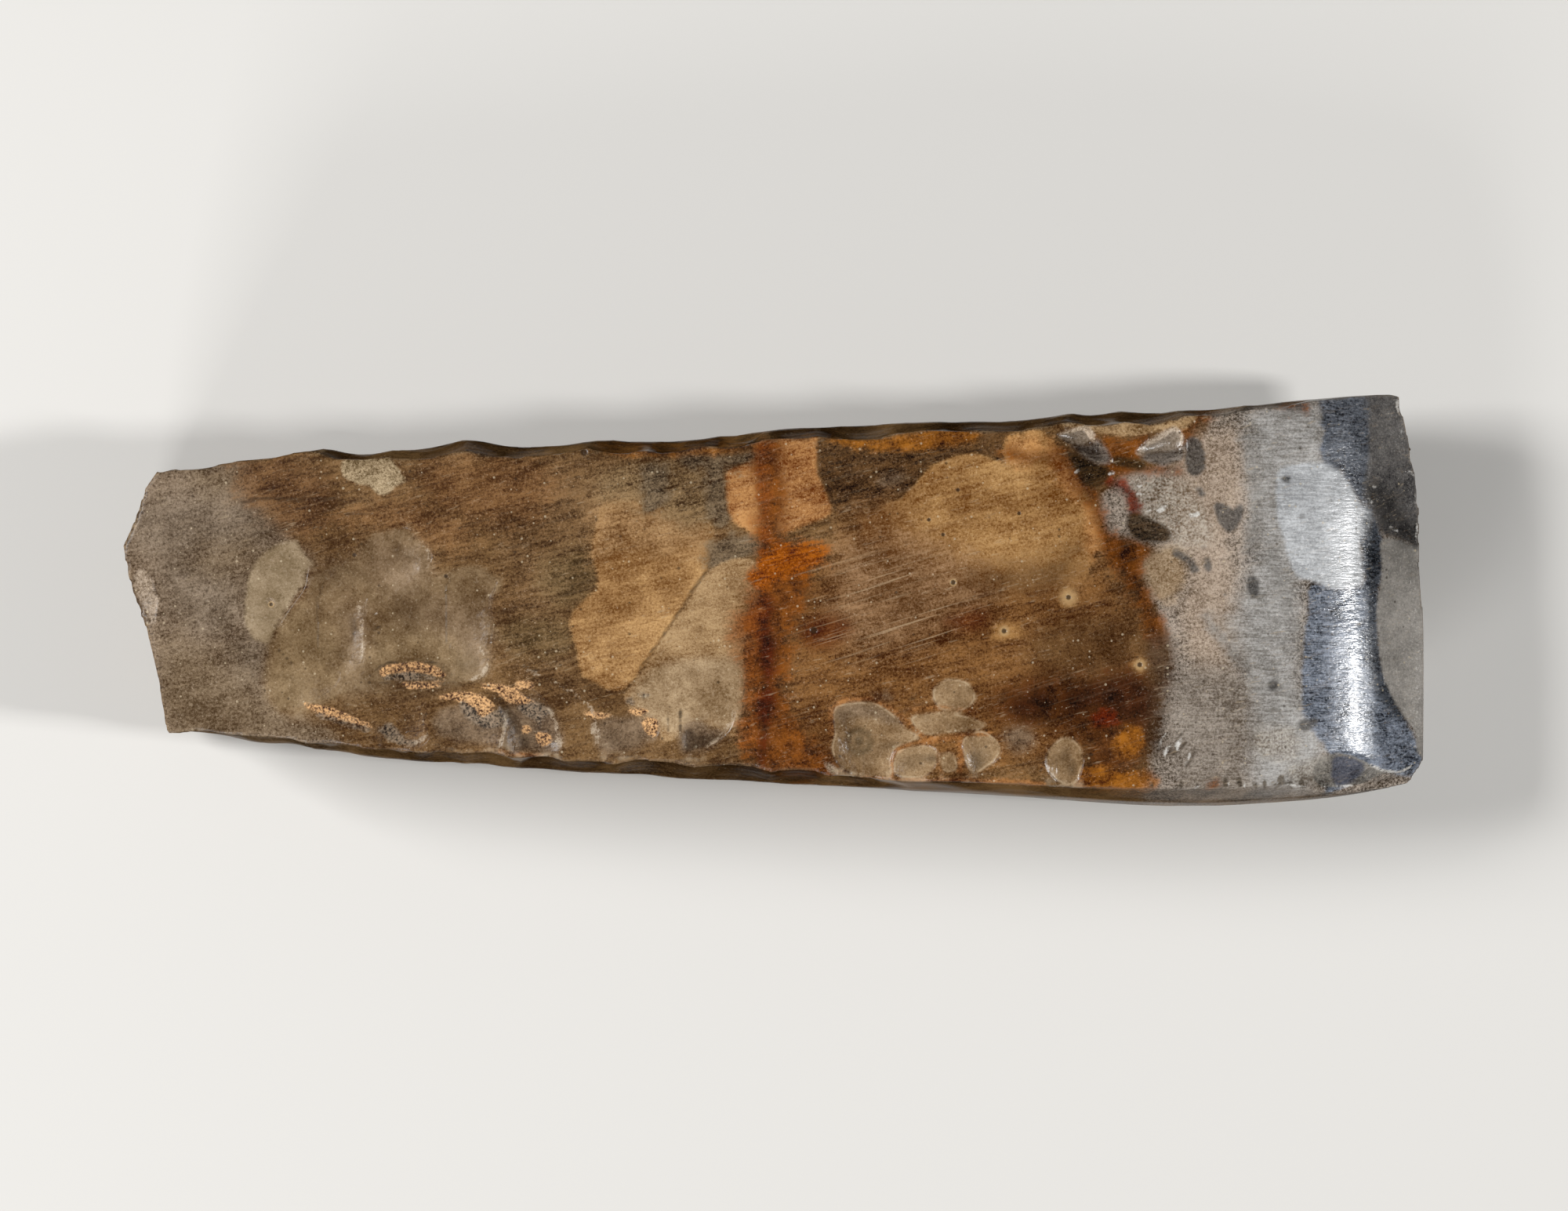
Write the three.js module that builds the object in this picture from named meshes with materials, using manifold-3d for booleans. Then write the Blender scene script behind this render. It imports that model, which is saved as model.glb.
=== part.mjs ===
// Thick-butted flint axe head: one piece of knapped flint with a four-sided section. It has two
// ground broad faces, two narrow sides that are flaked from both corners, a thick blunt butt and a
// polished cutting edge. Nothing is fitted to it and nothing moves.
//
// Millimetres, +Z up. The axe lies on one broad face, its length along X with the cutting edge at +X.
// The origin is the middle of the box that the axe fills, on the surface that it rests on.

import * as THREE from "three";
import { mergeVertices } from "three/addons/utils/BufferGeometryUtils.js";
import Module from "manifold-3d";

const wasm = await Module();
wasm.setup();

// Driving dimensions.
const LENGTH = 180; // butt to cutting edge
const WIDTH = 57; // over the widest swelling of both narrow sides
const THICKNESS = 30; // between the two ground flats
const EDGE_BLUNT = 0.5; // stone left at the cutting edge
const FACE_CROWN = 1.4; // how much lower a broad face is at its corners than along its middle
const GROUND_OFF = 0.35; // height of each crown that grinding has taken off as a flat
const SIDE_SWELL = 2.9; // the most that a narrow side stands out past its corners
const BUTT_LEAN = 1.2; // how far the struck butt leans out, from the upper face to the lower one
const FLAKE_DEPTH = 1.5; // deepest flake scar of a narrow side
const FLAKE_REACH = 12.5; // half the height of a flake scar, down a narrow side
const FLAKE_STEP = 12.5; // spacing of the flakes struck along the lower corners
const SCAR_DEPTH = 1.1; // a full flake scar that the grinding of a broad face has left
const CORNER_CHIP_DEPTH = 2.4; // the large flake lost from the corner of the cutting edge
const EDGE_NICK_DEPTH = 0.6; // wear nicks along the cutting edge
const BUTT_SCAR_DEPTH = 1.3; // the long scar that hollows the larger facet of the butt
const CUT_OVERRUN = 6; // how far a cutting solid runs past the stone

// Fineness of the surfaces: stations along the axe, points down a side, and rings of the scars.
const STATIONS = 34;
const STATION_CROWDING = 1.35;
const SIDE_POINTS = 3;
const BOWL_SEGMENTS = 12;
const BOWL_RINGS = 2;
const HOLLOW_RINGS = 3;

// Outline of the broad faces in plan. Each row is a share of LENGTH from the butt, then a share of
// WIDTH from the middle line. It follows the swelling of each narrow side.
const LEFT_SIDE_SHARES = [
  [0, 0.305], [0.03, 0.312], [0.067, 0.331], [0.112, 0.353], [0.156, 0.372], [0.194, 0.366],
  [0.242, 0.379], [0.266, 0.391], [0.326, 0.38], [0.369, 0.393], [0.411, 0.387], [0.447, 0.396],
  [0.477, 0.411], [0.561, 0.428], [0.628, 0.438], [0.69, 0.441], [0.73, 0.457], [0.809, 0.463],
  [0.893, 0.483], [0.976, 0.5], [1, 0.5],
];
const RIGHT_SIDE_SHARES = [
  [0, 0.32], [0.03, 0.323], [0.061, 0.329], [0.103, 0.346], [0.145, 0.365], [0.194, 0.382],
  [0.242, 0.398], [0.302, 0.408], [0.375, 0.424], [0.447, 0.436], [0.507, 0.448], [0.568, 0.458],
  [0.64, 0.468], [0.712, 0.483], [0.785, 0.498], [0.821, 0.5], [0.893, 0.489], [0.93, 0.478],
  [0.96, 0.463], [0.989, 0.443], [1, 0.437],
];

// How far each narrow side stands out past its corners: share of LENGTH, then of SIDE_SWELL.
const LEFT_SWELL_SHARES = [
  [0, 0], [0.15, 0.12], [0.2, 0.4], [0.3, 0.42], [0.5, 0.5], [0.6, 0.5], [0.75, 0.45], [0.85, 0.28],
  [0.93, 0.12], [1, 0.1],
];
const RIGHT_SWELL_SHARES = [
  [0, 0.05], [0.1, 0.2], [0.2, 0.45], [0.4, 0.55], [0.55, 0.55], [0.7, 0.75], [0.82, 0.95],
  [0.9, 0.9], [1, 0.8],
];

// Half the thickness along the axe: share of the way to the cutting edge, then of THICKNESS.
// It is thick at the butt, fullest before the middle, and falls away to the bevel of the edge.
const PROFILE_SHARES = [
  [0, 0.375], [0.15, 0.437], [0.3, 0.483], [0.46, 0.5], [0.62, 0.478], [0.75, 0.421], [0.85, 0.341],
  [0.92, 0.254], [0.955, 0.18], [0.98, 0.083], [1, 0],
];

// The cutting edge in plan: place across the blade from -1 to 1, then share of LENGTH.
const EDGE_SHARES = [
  [-1, 0.988], [-0.9, 0.9992], [-0.62, 1], [-0.25, 1], [0.1, 0.9965], [0.45, 0.996], [0.8, 0.9875],
  [1, 0.98],
];

// Where the points across a broad face lie, from the right corner at -1 to the left one at 1. They
// are the same places that the cutting edge is given at.
const ACROSS_SHARES = EDGE_SHARES.map(([across]) => across);
const FACE_POINTS = ACROSS_SHARES.length;

// The struck facets of the butt, each by two points of its outline as shares of LENGTH and WIDTH,
// and its lean as a share of BUTT_LEAN.
const BUTT_FACET_SHARES = {
  larger: { from: [0.0006, 0.078], to: [0.0271, -0.317], lean: 1 },
  smaller: { from: [0.0157, 0.25], to: [0.0006, 0.132], lean: -0.3 },
  corner: { from: [0.0277, 0.307], to: [0.0157, 0.25], lean: -0.5 },
};

// Flakes struck down the narrow sides from the upper corners: share of LENGTH, width as a share of
// LENGTH, depth as a share of FLAKE_DEPTH. Their upper ends make the corners wavy.
const LEFT_FLAKE_SHARES = [
  [0.07, 0.05, 0.2], [0.12, 0.045, 0.25], [0.18, 0.045, 0.85], [0.243, 0.055, 0.75], [0.3, 0.072, 1],
  [0.345, 0.03, 0.4], [0.387, 0.05, 0.8], [0.428, 0.04, 0.5], [0.48, 0.045, 0.9], [0.53, 0.04, 0.35],
  [0.577, 0.065, 1], [0.612, 0.035, 0.45], [0.652, 0.05, 0.5], [0.69, 0.045, 0.55],
  [0.727, 0.035, 0.35], [0.764, 0.055, 0.9], [0.8, 0.05, 0.85], [0.855, 0.045, 0.3],
  [0.9, 0.05, 0.22],
];
const RIGHT_FLAKE_SHARES = [
  [0.085, 0.05, 0.35], [0.127, 0.045, 0.6], [0.17, 0.05, 0.5], [0.215, 0.045, 0.35],
  [0.25, 0.038, 0.65], [0.285, 0.045, 0.75], [0.325, 0.05, 0.6], [0.368, 0.045, 0.5],
  [0.414, 0.065, 0.95], [0.475, 0.065, 1], [0.526, 0.055, 0.85], [0.562, 0.045, 0.5],
  [0.62, 0.06, 0.2], [0.7, 0.06, 0.16],
];

// Flake scars of the upper broad face that grinding has not reached. Each outline is in shares of
// LENGTH from the butt and of WIDTH from the middle line, with its deepest point and its depth as a
// share of SCAR_DEPTH.
const UPPER_SCAR_SHARES = [
  {
    name: "left fan",
    deepest: [0.141, -0.198],
    depth: 0.45,
    outline: [
      [0.116, -0.136], [0.137, -0.131], [0.157, -0.15], [0.168, -0.177], [0.16, -0.216],
      [0.148, -0.254], [0.134, -0.281], [0.119, -0.263], [0.114, -0.216], [0.113, -0.169],
    ],
  },
  {
    name: "left rim",
    deepest: [0.178, -0.089],
    depth: 0.6,
    outline: [
      [0.139, -0.046], [0.148, 0.002], [0.166, 0.021], [0.182, -0.008], [0.188, -0.065],
      [0.188, -0.14], [0.178, -0.196], [0.166, -0.225], [0.148, -0.159], [0.131, -0.131],
      [0.122, -0.112], [0.128, -0.065],
    ],
  },
  {
    name: "upper fan",
    deepest: [0.223, 0.114],
    depth: 0.4,
    outline: [
      [0.172, 0.087], [0.191, 0.125], [0.203, 0.156], [0.218, 0.158], [0.23, 0.134], [0.238, 0.11],
      [0.236, 0.083], [0.227, 0.058], [0.209, 0.011], [0.191, -0.008], [0.175, 0.011],
    ],
  },
  {
    name: "great middle scar",
    deepest: [0.264, -0.129],
    depth: 0.7,
    outline: [
      [0.191, -0.027], [0.209, 0.011], [0.233, 0.058], [0.25, 0.072], [0.271, 0.058], [0.283, 0.021],
      [0.285, -0.046], [0.281, -0.102], [0.282, -0.159], [0.275, -0.193], [0.25, -0.2],
      [0.221, -0.2], [0.197, -0.206], [0.188, -0.159], [0.188, -0.083],
    ],
  },
  {
    name: "first lower flake",
    deepest: [0.213, -0.327],
    depth: 0.7,
    outline: [
      [0.191, -0.225], [0.209, -0.216], [0.233, -0.225], [0.238, -0.254], [0.236, -0.3],
      [0.235, -0.339], [0.228, -0.406], [0.2, -0.396], [0.193, -0.32], [0.189, -0.273],
    ],
  },
  {
    name: "second lower flake",
    deepest: [0.268, -0.347],
    depth: 0.8,
    outline: [
      [0.238, -0.254], [0.247, -0.231], [0.268, -0.225], [0.286, -0.235], [0.295, -0.263],
      [0.296, -0.31], [0.292, -0.426], [0.268, -0.436], [0.241, -0.426], [0.236, -0.32],
    ],
  },
  {
    name: "third lower flake",
    deepest: [0.313, -0.337],
    depth: 1,
    outline: [
      [0.275, -0.2], [0.298, -0.2], [0.319, -0.235], [0.331, -0.281], [0.338, -0.329],
      [0.338, -0.436], [0.316, -0.446], [0.295, -0.436], [0.295, -0.327], [0.286, -0.248],
    ],
  },
  {
    name: "stepped flake",
    deepest: [0.39, -0.367],
    depth: 0.6,
    outline: [
      [0.365, -0.281], [0.382, -0.276], [0.403, -0.263], [0.412, -0.281], [0.415, -0.329],
      [0.411, -0.456], [0.371, -0.456], [0.363, -0.339],
    ],
  },
  {
    name: "three-cornered flake",
    deepest: [0.438, -0.342],
    depth: 0.55,
    outline: [
      [0.429, -0.291], [0.439, -0.287], [0.451, -0.295], [0.468, -0.32], [0.456, -0.348],
      [0.442, -0.377], [0.429, -0.371],
    ],
  },
  {
    name: "broad pale flake",
    deepest: [0.571, -0.367],
    depth: 0.7,
    outline: [
      [0.548, -0.263], [0.567, -0.25], [0.585, -0.263], [0.603, -0.31], [0.615, -0.339],
      [0.596, -0.362], [0.59, -0.396], [0.589, -0.476], [0.569, -0.476], [0.549, -0.395],
      [0.546, -0.329],
    ],
  },
  {
    name: "second pale flake",
    deepest: [0.606, -0.396],
    depth: 0.6,
    outline: [
      [0.591, -0.377], [0.6, -0.352], [0.621, -0.344], [0.633, -0.358], [0.636, -0.377],
      [0.629, -0.396], [0.622, -0.426], [0.617, -0.486], [0.594, -0.486], [0.589, -0.404],
    ],
  },
  {
    name: "third pale flake",
    deepest: [0.654, -0.386],
    depth: 0.5,
    outline: [
      [0.645, -0.339], [0.66, -0.31], [0.671, -0.329], [0.674, -0.367], [0.667, -0.408],
      [0.654, -0.427], [0.646, -0.404], [0.644, -0.367],
    ],
  },
  {
    name: "leaf flake",
    deepest: [0.723, -0.396],
    depth: 0.5,
    outline: [
      [0.713, -0.348], [0.722, -0.325], [0.733, -0.348], [0.737, -0.385], [0.733, -0.466],
      [0.721, -0.486], [0.711, -0.456], [0.705, -0.395],
    ],
  },
  {
    name: "upper long flake",
    deepest: [0.734, 0.386],
    depth: 1,
    outline: [
      [0.713, 0.399], [0.725, 0.418], [0.737, 0.422], [0.747, 0.38], [0.756, 0.337], [0.749, 0.323],
      [0.734, 0.337], [0.722, 0.366],
    ],
  },
  {
    name: "upper shell flake",
    deepest: [0.8, 0.371],
    depth: 0.95,
    outline: [
      [0.776, 0.356], [0.785, 0.385], [0.8, 0.412], [0.806, 0.418], [0.813, 0.399],
      [0.812, 0.352], [0.803, 0.327], [0.791, 0.329], [0.782, 0.337],
    ],
  },
];

// The flake lost from the corner of the cutting edge. It runs out over the narrow side.
const CORNER_CHIP_SHARES = {
  name: "corner chip",
  deepest: [0.938, -0.458],
  outline: [
    [0.891, -0.416], [0.903, -0.387], [0.921, -0.37], [0.939, -0.372], [0.958, -0.391],
    [0.972, -0.41], [0.989, -0.418], [0.989, -0.497], [0.891, -0.497],
  ],
};

// A shallow flake on the upper corner of the butt.
const BUTT_CHIP_SHARES = {
  name: "butt chip",
  deepest: [0.016, 0.02],
  outline: [
    [0.012, 0.073], [0.021, 0.066], [0.026, 0.034], [0.029, -0.004], [0.027, -0.065],
    [0.018, -0.06], [0.006, 0.03],
  ],
};

// Flake scars of the underside: share of LENGTH, share of WIDTH, length and width of the scar as
// shares of LENGTH, turn as a share of a half turn, depth as a share of SCAR_DEPTH.
const LOWER_SCAR_SHARES = [
  [0.1, -0.29, 0.075, 0.045, 0.1, 0.7], [0.17, -0.33, 0.08, 0.05, 0.05, 0.9],
  [0.235, -0.35, 0.06, 0.045, -0.1, 0.7], [0.13, 0.27, 0.1, 0.05, -0.12, 0.8],
  [0.21, 0.32, 0.08, 0.055, 0.1, 1], [0.165, 0.16, 0.09, 0.06, 0.2, 0.5],
  [0.42, 0.37, 0.07, 0.05, -0.1, 0.8], [0.5, 0.39, 0.06, 0.045, 0.1, 0.6],
  [0.36, -0.39, 0.06, 0.04, 0.1, 0.7], [0.58, -0.41, 0.07, 0.05, -0.1, 0.9],
  [0.66, -0.42, 0.055, 0.045, 0.12, 0.7], [0.75, 0.41, 0.07, 0.05, 0.1, 0.8],
  [0.83, 0.43, 0.06, 0.04, -0.1, 0.6], [0.04, 0.05, 0.07, 0.06, 0.3, 0.6],
];

// Flake scars of the butt: the facet, share of the way along it, share of the height there, width
// and height as shares of THICKNESS, and depth as a share of BUTT_SCAR_DEPTH. The first one runs
// down the whole height of the butt.
const BUTT_FLAKE_SHARES = [
  ["larger", 0.6, 0.5, 0.78, 1.9, 1], ["larger", 0.93, 0.97, 0.5, 0.6, 0.6],
  ["larger", 0.22, 0.02, 0.5, 0.7, 0.5], ["smaller", 0.4, 0.9, 0.5, 0.8, 0.4],
  ["smaller", 0.9, 0.1, 0.6, 0.6, 0.5], ["corner", 0.3, 0.35, 0.4, 0.7, 0.4],
];

// Wear nicks along the upper half of the cutting edge: place across the blade, and size as a share
// of EDGE_NICK_DEPTH.
const EDGE_NICK_SHARES = [
  [0.93, 0.8], [0.81, 0.5], [0.68, 1], [0.57, 0.6], [0.45, 0.9], [0.35, 0.5], [0.26, 0.6],
  [0.12, 0.4],
];

// How far the wall of a hollow goes on past its outline, as a share of its radius.
const RIM_RUN_SHARE = 0.22;
// How high the wall of a bowl goes on past its mouth, as a share of SIDE_SWELL.
const RIM_RISE_SHARE = 0.75;
// Width of an edge nick over its own depth, and the height of its cut over EDGE_NICK_DEPTH.
const NICK_WIDTH_SHARE = 4;
const NICK_HEIGHT_SHARE = 10;
// Centre of a side flake below its corner, as a share of FLAKE_REACH.
const FLAKE_DROP_SHARE = 0.5;
// A side flake reaches no further than this share of the height of its side.
const FLAKE_LIMIT_SHARE = 0.44;
// Step over which the slope of a narrow side is taken, as a share of its length or its height.
const SLOPE_STEP_SHARE = 0.01;
// The swelling of a side fades where the section is thinner than this share of THICKNESS.
const THIN_SECTION_SHARE = 0.3;
// How much wider an upper flake is cut than the notch that it leaves in its corner.
const UPPER_FLAKE_WIDTH_SHARE = 1.3;
// A lower flake's width over its spacing, its depth over FLAKE_DEPTH, and how much its place, width
// and depth vary from one to the next, each with a beat of its own.
const LOWER_FLAKE_WIDTH_SHARE = 1.5;
const VARIATION_SHARE = 0.28;
const FLAKE_BEATS = { place: 2.4, width: 1.7, depth: 3.1 };
const LOWER_FLAKE_DEPTH_SHARE = 0.72;
const FIRST_FLAKE_SHARE = 0.06;
const LAST_FLAKE_SHARE = 0.9;

const MIDDLE_HEIGHT = THICKNESS / 2;
const CROWN_SHARE = FACE_CROWN / MIDDLE_HEIGHT;
const CROWN_TOP = MIDDLE_HEIGHT + GROUND_OFF;

// A smooth curve through a table's points, never beyond their range.
function along(table, at) {
  if (at <= table[0][0]) return table[0][1];
  const last = table.length - 1;
  if (at >= table[last][0]) return table[last][1];
  let i = 0;
  while (at > table[i + 1][0]) i += 1;
  const slopeBetween = (a, b) => (table[b][1] - table[a][1]) / (table[b][0] - table[a][0]);
  const slopeAt = (k) => {
    if (k === 0) return slopeBetween(0, 1);
    if (k === last) return slopeBetween(last - 1, last);
    const before = slopeBetween(k - 1, k);
    const after = slopeBetween(k, k + 1);
    return before * after <= 0 ? 0 : (2 * before * after) / (before + after);
  };
  const span = table[i + 1][0] - table[i][0];
  const t = (at - table[i][0]) / span;
  return (
    (1 + 2 * t) * (1 - t) ** 2 * table[i][1] +
    t * (1 - t) ** 2 * span * slopeAt(i) +
    t ** 2 * (3 - 2 * t) * table[i + 1][1] +
    t ** 2 * (t - 1) * span * slopeAt(i + 1)
  );
}

const leftSideAt = (x) => WIDTH * along(LEFT_SIDE_SHARES, x / LENGTH);
const rightSideAt = (x) => -WIDTH * along(RIGHT_SIDE_SHARES, x / LENGTH);
const edgeAt = (across) => LENGTH * along(EDGE_SHARES, across);

function halfThicknessAt(share) {
  const body = (along(PROFILE_SHARES, share) / 0.5) * CROWN_TOP;
  return Math.max(body, EDGE_BLUNT / 2);
}

// How far a side stands out past its corners. It fades towards the thin cutting edge.
function swellAt(x, share, side) {
  const table = side > 0 ? LEFT_SWELL_SHARES : RIGHT_SWELL_SHARES;
  const fade = Math.min(1, halfThicknessAt(share) / (THIN_SECTION_SHARE * THICKNESS));
  return SIDE_SWELL * along(table, x / LENGTH) * fade;
}

// A point of a broad face: share of the way to the edge, place across from -1 to 1, and face 1 for
// the upper or -1 for the lower.
function facePoint(share, across, face) {
  const x = share * edgeAt(across);
  const left = leftSideAt(x) - swellAt(x, share, 1);
  const right = rightSideAt(x) + swellAt(x, share, -1);
  const y = right + ((across + 1) / 2) * (left - right);
  const z = MIDDLE_HEIGHT + face * halfThicknessAt(share) * (1 - CROWN_SHARE * across ** 2);
  return new THREE.Vector3(x, y, z);
}

// A point of a narrow side: side 1 for the left or -1 for the right, and down from 0 at the upper
// corner to 1 at the lower one.
function sidePoint(share, side, down) {
  const upper = facePoint(share, side, 1);
  const lower = facePoint(share, side, -1);
  const point = upper.lerp(lower, down);
  point.y += side * swellAt(point.x, share, side) * 4 * down * (1 - down);
  return point;
}

// Height of a broad face above or below a place in plan, before the flats are ground.
function faceHeightAt(x, y, face) {
  let across = 0;
  let share = x / edgeAt(across);
  for (let step = 0; step < 3; step++) {
    const left = leftSideAt(x) - swellAt(x, share, 1);
    const right = rightSideAt(x) + swellAt(x, share, -1);
    across = THREE.MathUtils.clamp((2 * (y - right)) / (left - right) - 1, -1, 1);
    share = THREE.MathUtils.clamp(x / edgeAt(across), 0, 1);
  }
  return facePoint(share, across, face).z;
}

// Joins closed rings of points into one solid, with an end cap that pairs the upper and lower rows.
function loft(rings) {
  const count = rings[0].length;
  const positions = [];
  const triangles = [];
  for (const ring of rings) for (const point of ring) positions.push(point.x, point.y, point.z);
  for (let r = 0; r < rings.length - 1; r++) {
    for (let i = 0; i < count; i++) {
      const next = (i + 1) % count;
      const [a, b] = [r * count + i, r * count + next];
      const [c, d] = [a + count, b + count];
      triangles.push(a, c, b, b, c, d);
    }
  }
  const cap = (start, flip) => {
    const put = (a, b, c) => {
      const [second, third] = flip ? [c, b] : [b, c];
      triangles.push(start + a, start + second, start + third);
    };
    const lowerRow = FACE_POINTS + SIDE_POINTS;
    for (let i = 0; i < FACE_POINTS - 1; i++) {
      const below = lowerRow + FACE_POINTS - 1 - i;
      put(i, i + 1, below);
      put(i + 1, below - 1, below);
    }
    for (let i = FACE_POINTS - 1; i < lowerRow - 1; i++) put(i + 1, i + 2, FACE_POINTS - 1);
    for (let i = lowerRow + FACE_POINTS - 1; i < count - 1; i++) put(i, i + 1, 0);
  };
  cap(0, false);
  cap((rings.length - 1) * count, true);
  const geometry = new THREE.BufferGeometry();
  geometry.setAttribute("position", new THREE.Float32BufferAttribute(positions, 3));
  geometry.setIndex(triangles);
  return geometry;
}

function sectionRing(share) {
  const ring = [];
  for (const across of ACROSS_SHARES) ring.push(facePoint(share, across, 1));
  for (let i = 1; i <= SIDE_POINTS; i++) ring.push(sidePoint(share, 1, i / (SIDE_POINTS + 1)));
  for (const across of ACROSS_SHARES.toReversed()) ring.push(facePoint(share, across, -1));
  for (let i = SIDE_POINTS; i >= 1; i--) ring.push(sidePoint(share, -1, i / (SIDE_POINTS + 1)));
  return ring;
}

// The roughed-out axe as one loft from the butt to the cutting edge.
function axeBody() {
  const rings = [];
  for (let i = 0; i <= STATIONS; i++) rings.push(sectionRing(1 - (1 - i / STATIONS) ** STATION_CROWDING));
  return loft(rings);
}

function solidOf(geometry) {
  const bare = new THREE.BufferGeometry();
  bare.setAttribute("position", geometry.getAttribute("position"));
  bare.setIndex(geometry.getIndex());
  const merged = mergeVertices(bare);
  const mesh = new wasm.Mesh({
    numProp: 3,
    vertProperties: new Float32Array(merged.attributes.position.array),
    triVerts: new Uint32Array(merged.index.array),
  });
  return new wasm.Manifold(mesh);
}

function geometryOf(solid) {
  const mesh = solid.getMesh();
  const geometry = new THREE.BufferGeometry();
  geometry.setAttribute("position", new THREE.BufferAttribute(mesh.vertProperties, 3));
  geometry.setIndex(new THREE.BufferAttribute(mesh.triVerts, 1));
  return geometry;
}

// A shallow oval bowl with its mouth at a point of the surface, facing outwards. Its wall goes on
// rising past the mouth, so that it also clears stone that stands above the mouth.
function bowl(at, outwards, lengthwise, length, width, depth) {
  const rise = RIM_RISE_SHARE * SIDE_SWELL;
  const run = Math.sqrt(1 + rise / depth);
  const profile = [];
  for (let ring = 0; ring <= BOWL_RINGS; ring++) {
    const r = ring / BOWL_RINGS;
    profile.push(new THREE.Vector2(r, depth * (r ** 2 - 1)));
  }
  profile.push(new THREE.Vector2(run, rise));
  profile.push(new THREE.Vector2(run, rise + CUT_OVERRUN));
  profile.push(new THREE.Vector2(0, rise + CUT_OVERRUN));
  const geometry = new THREE.LatheGeometry(profile, BOWL_SEGMENTS);
  geometry.scale(width / 2, 1, length / 2);
  const up = outwards.clone().normalize();
  const long = lengthwise.clone().addScaledVector(up, -lengthwise.dot(up)).normalize();
  const cross = new THREE.Vector3().crossVectors(up, long);
  geometry.applyMatrix4(new THREE.Matrix4().makeBasis(cross, up, long).setPosition(at));
  return solidOf(geometry);
}

// A hollow in the upper face. Its outline runs clockwise from above and can all be seen from its
// deepest point. Its floor follows the face.
function hollow(scar, depth) {
  const [cx, cy] = [scar.deepest[0] * LENGTH, scar.deepest[1] * WIDTH];
  const count = scar.outline.length;
  const positions = [];
  const triangles = [];
  const put = (x, y, drop) => positions.push(x, y, faceHeightAt(x, y, 1) - drop);
  put(cx, cy, depth);
  const reaches = [];
  for (let ring = 1; ring <= HOLLOW_RINGS; ring++) reaches.push(ring / HOLLOW_RINGS);
  reaches.push(1 + RIM_RUN_SHARE);
  for (const reach of reaches) {
    for (const [shareX, shareY] of scar.outline) {
      const x = cx + reach * (shareX * LENGTH - cx);
      const y = cy + reach * (shareY * WIDTH - cy);
      put(x, y, depth * (1 - reach ** 2));
    }
  }
  const top = positions.length / 3;
  for (let i = top - count; i < top; i++) {
    positions.push(positions[3 * i], positions[3 * i + 1], THICKNESS + CUT_OVERRUN);
  }
  positions.push(cx, cy, THICKNESS + CUT_OVERRUN);
  const lid = positions.length / 3 - 1;
  for (let i = 0; i < count; i++) {
    const next = (i + 1) % count;
    triangles.push(0, 1 + i, 1 + next);
    triangles.push(lid, top + next, top + i);
    for (let ring = 0; ring < reaches.length; ring++) {
      const [a, b] = [1 + ring * count + i, 1 + ring * count + next];
      triangles.push(a, a + count, b, b, a + count, b + count);
    }
  }
  const geometry = new THREE.BufferGeometry();
  geometry.setAttribute("position", new THREE.Float32BufferAttribute(positions, 3));
  geometry.setIndex(triangles);
  return solidOf(geometry);
}

// A block that takes off everything outside a plane.
function planeCutter(point, outwards) {
  const reach = 2 * LENGTH;
  const geometry = new THREE.BoxGeometry(reach, reach, reach);
  geometry.translate(0, 0, reach / 2);
  const up = new THREE.Vector3(0, 0, 1);
  geometry.applyQuaternion(new THREE.Quaternion().setFromUnitVectors(up, outwards.clone().normalize()));
  geometry.translate(point.x, point.y, point.z);
  return solidOf(geometry);
}

function withGroundFlats(solid) {
  const upper = planeCutter(new THREE.Vector3(0, 0, THICKNESS), new THREE.Vector3(0, 0, 1));
  const lower = planeCutter(new THREE.Vector3(0, 0, 0), new THREE.Vector3(0, 0, -1));
  return solid.subtract(upper).subtract(lower);
}

// A butt facet as the two ends of its line and the way that it faces. The line lies at the level
// where the facet stands out the furthest.
function buttFacet(name) {
  const facet = BUTT_FACET_SHARES[name];
  const level = facet.lean > 0 ? 0 : THICKNESS;
  const from = new THREE.Vector3(facet.from[0] * LENGTH, facet.from[1] * WIDTH, level);
  const to = new THREE.Vector3(facet.to[0] * LENGTH, facet.to[1] * WIDTH, level);
  const line = to.clone().sub(from).normalize();
  const outwards = new THREE.Vector3(line.y, -line.x, (facet.lean * BUTT_LEAN) / THICKNESS);
  return { from, to, outwards: outwards.normalize() };
}

function withStruckButt(solid) {
  let result = solid;
  for (const name of Object.keys(BUTT_FACET_SHARES)) {
    const { from, outwards } = buttFacet(name);
    result = result.subtract(planeCutter(from, outwards));
  }
  return result;
}

// The way a narrow side faces at one of its points.
function sideFacing(share, side, down) {
  const at = sidePoint(share, side, down);
  const forwards = sidePoint(share + SLOPE_STEP_SHARE, side, down).sub(at);
  const downwards = sidePoint(share, side, down + SLOPE_STEP_SHARE).sub(at);
  return forwards.cross(downwards).multiplyScalar(side).normalize();
}

// A flake down one narrow side from its upper or lower corner.
function sideFlake(share, side, fromAbove, width, depth) {
  const height = 2 * halfThicknessAt(share);
  const reach = Math.min(FLAKE_REACH, height * FLAKE_LIMIT_SHARE);
  const drop = (FLAKE_DROP_SHARE * reach) / height;
  const down = fromAbove ? drop : 1 - drop;
  const up = new THREE.Vector3(0, 0, 1);
  return bowl(sidePoint(share, side, down), sideFacing(share, side, down), up, 2 * reach, width, depth);
}

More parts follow.
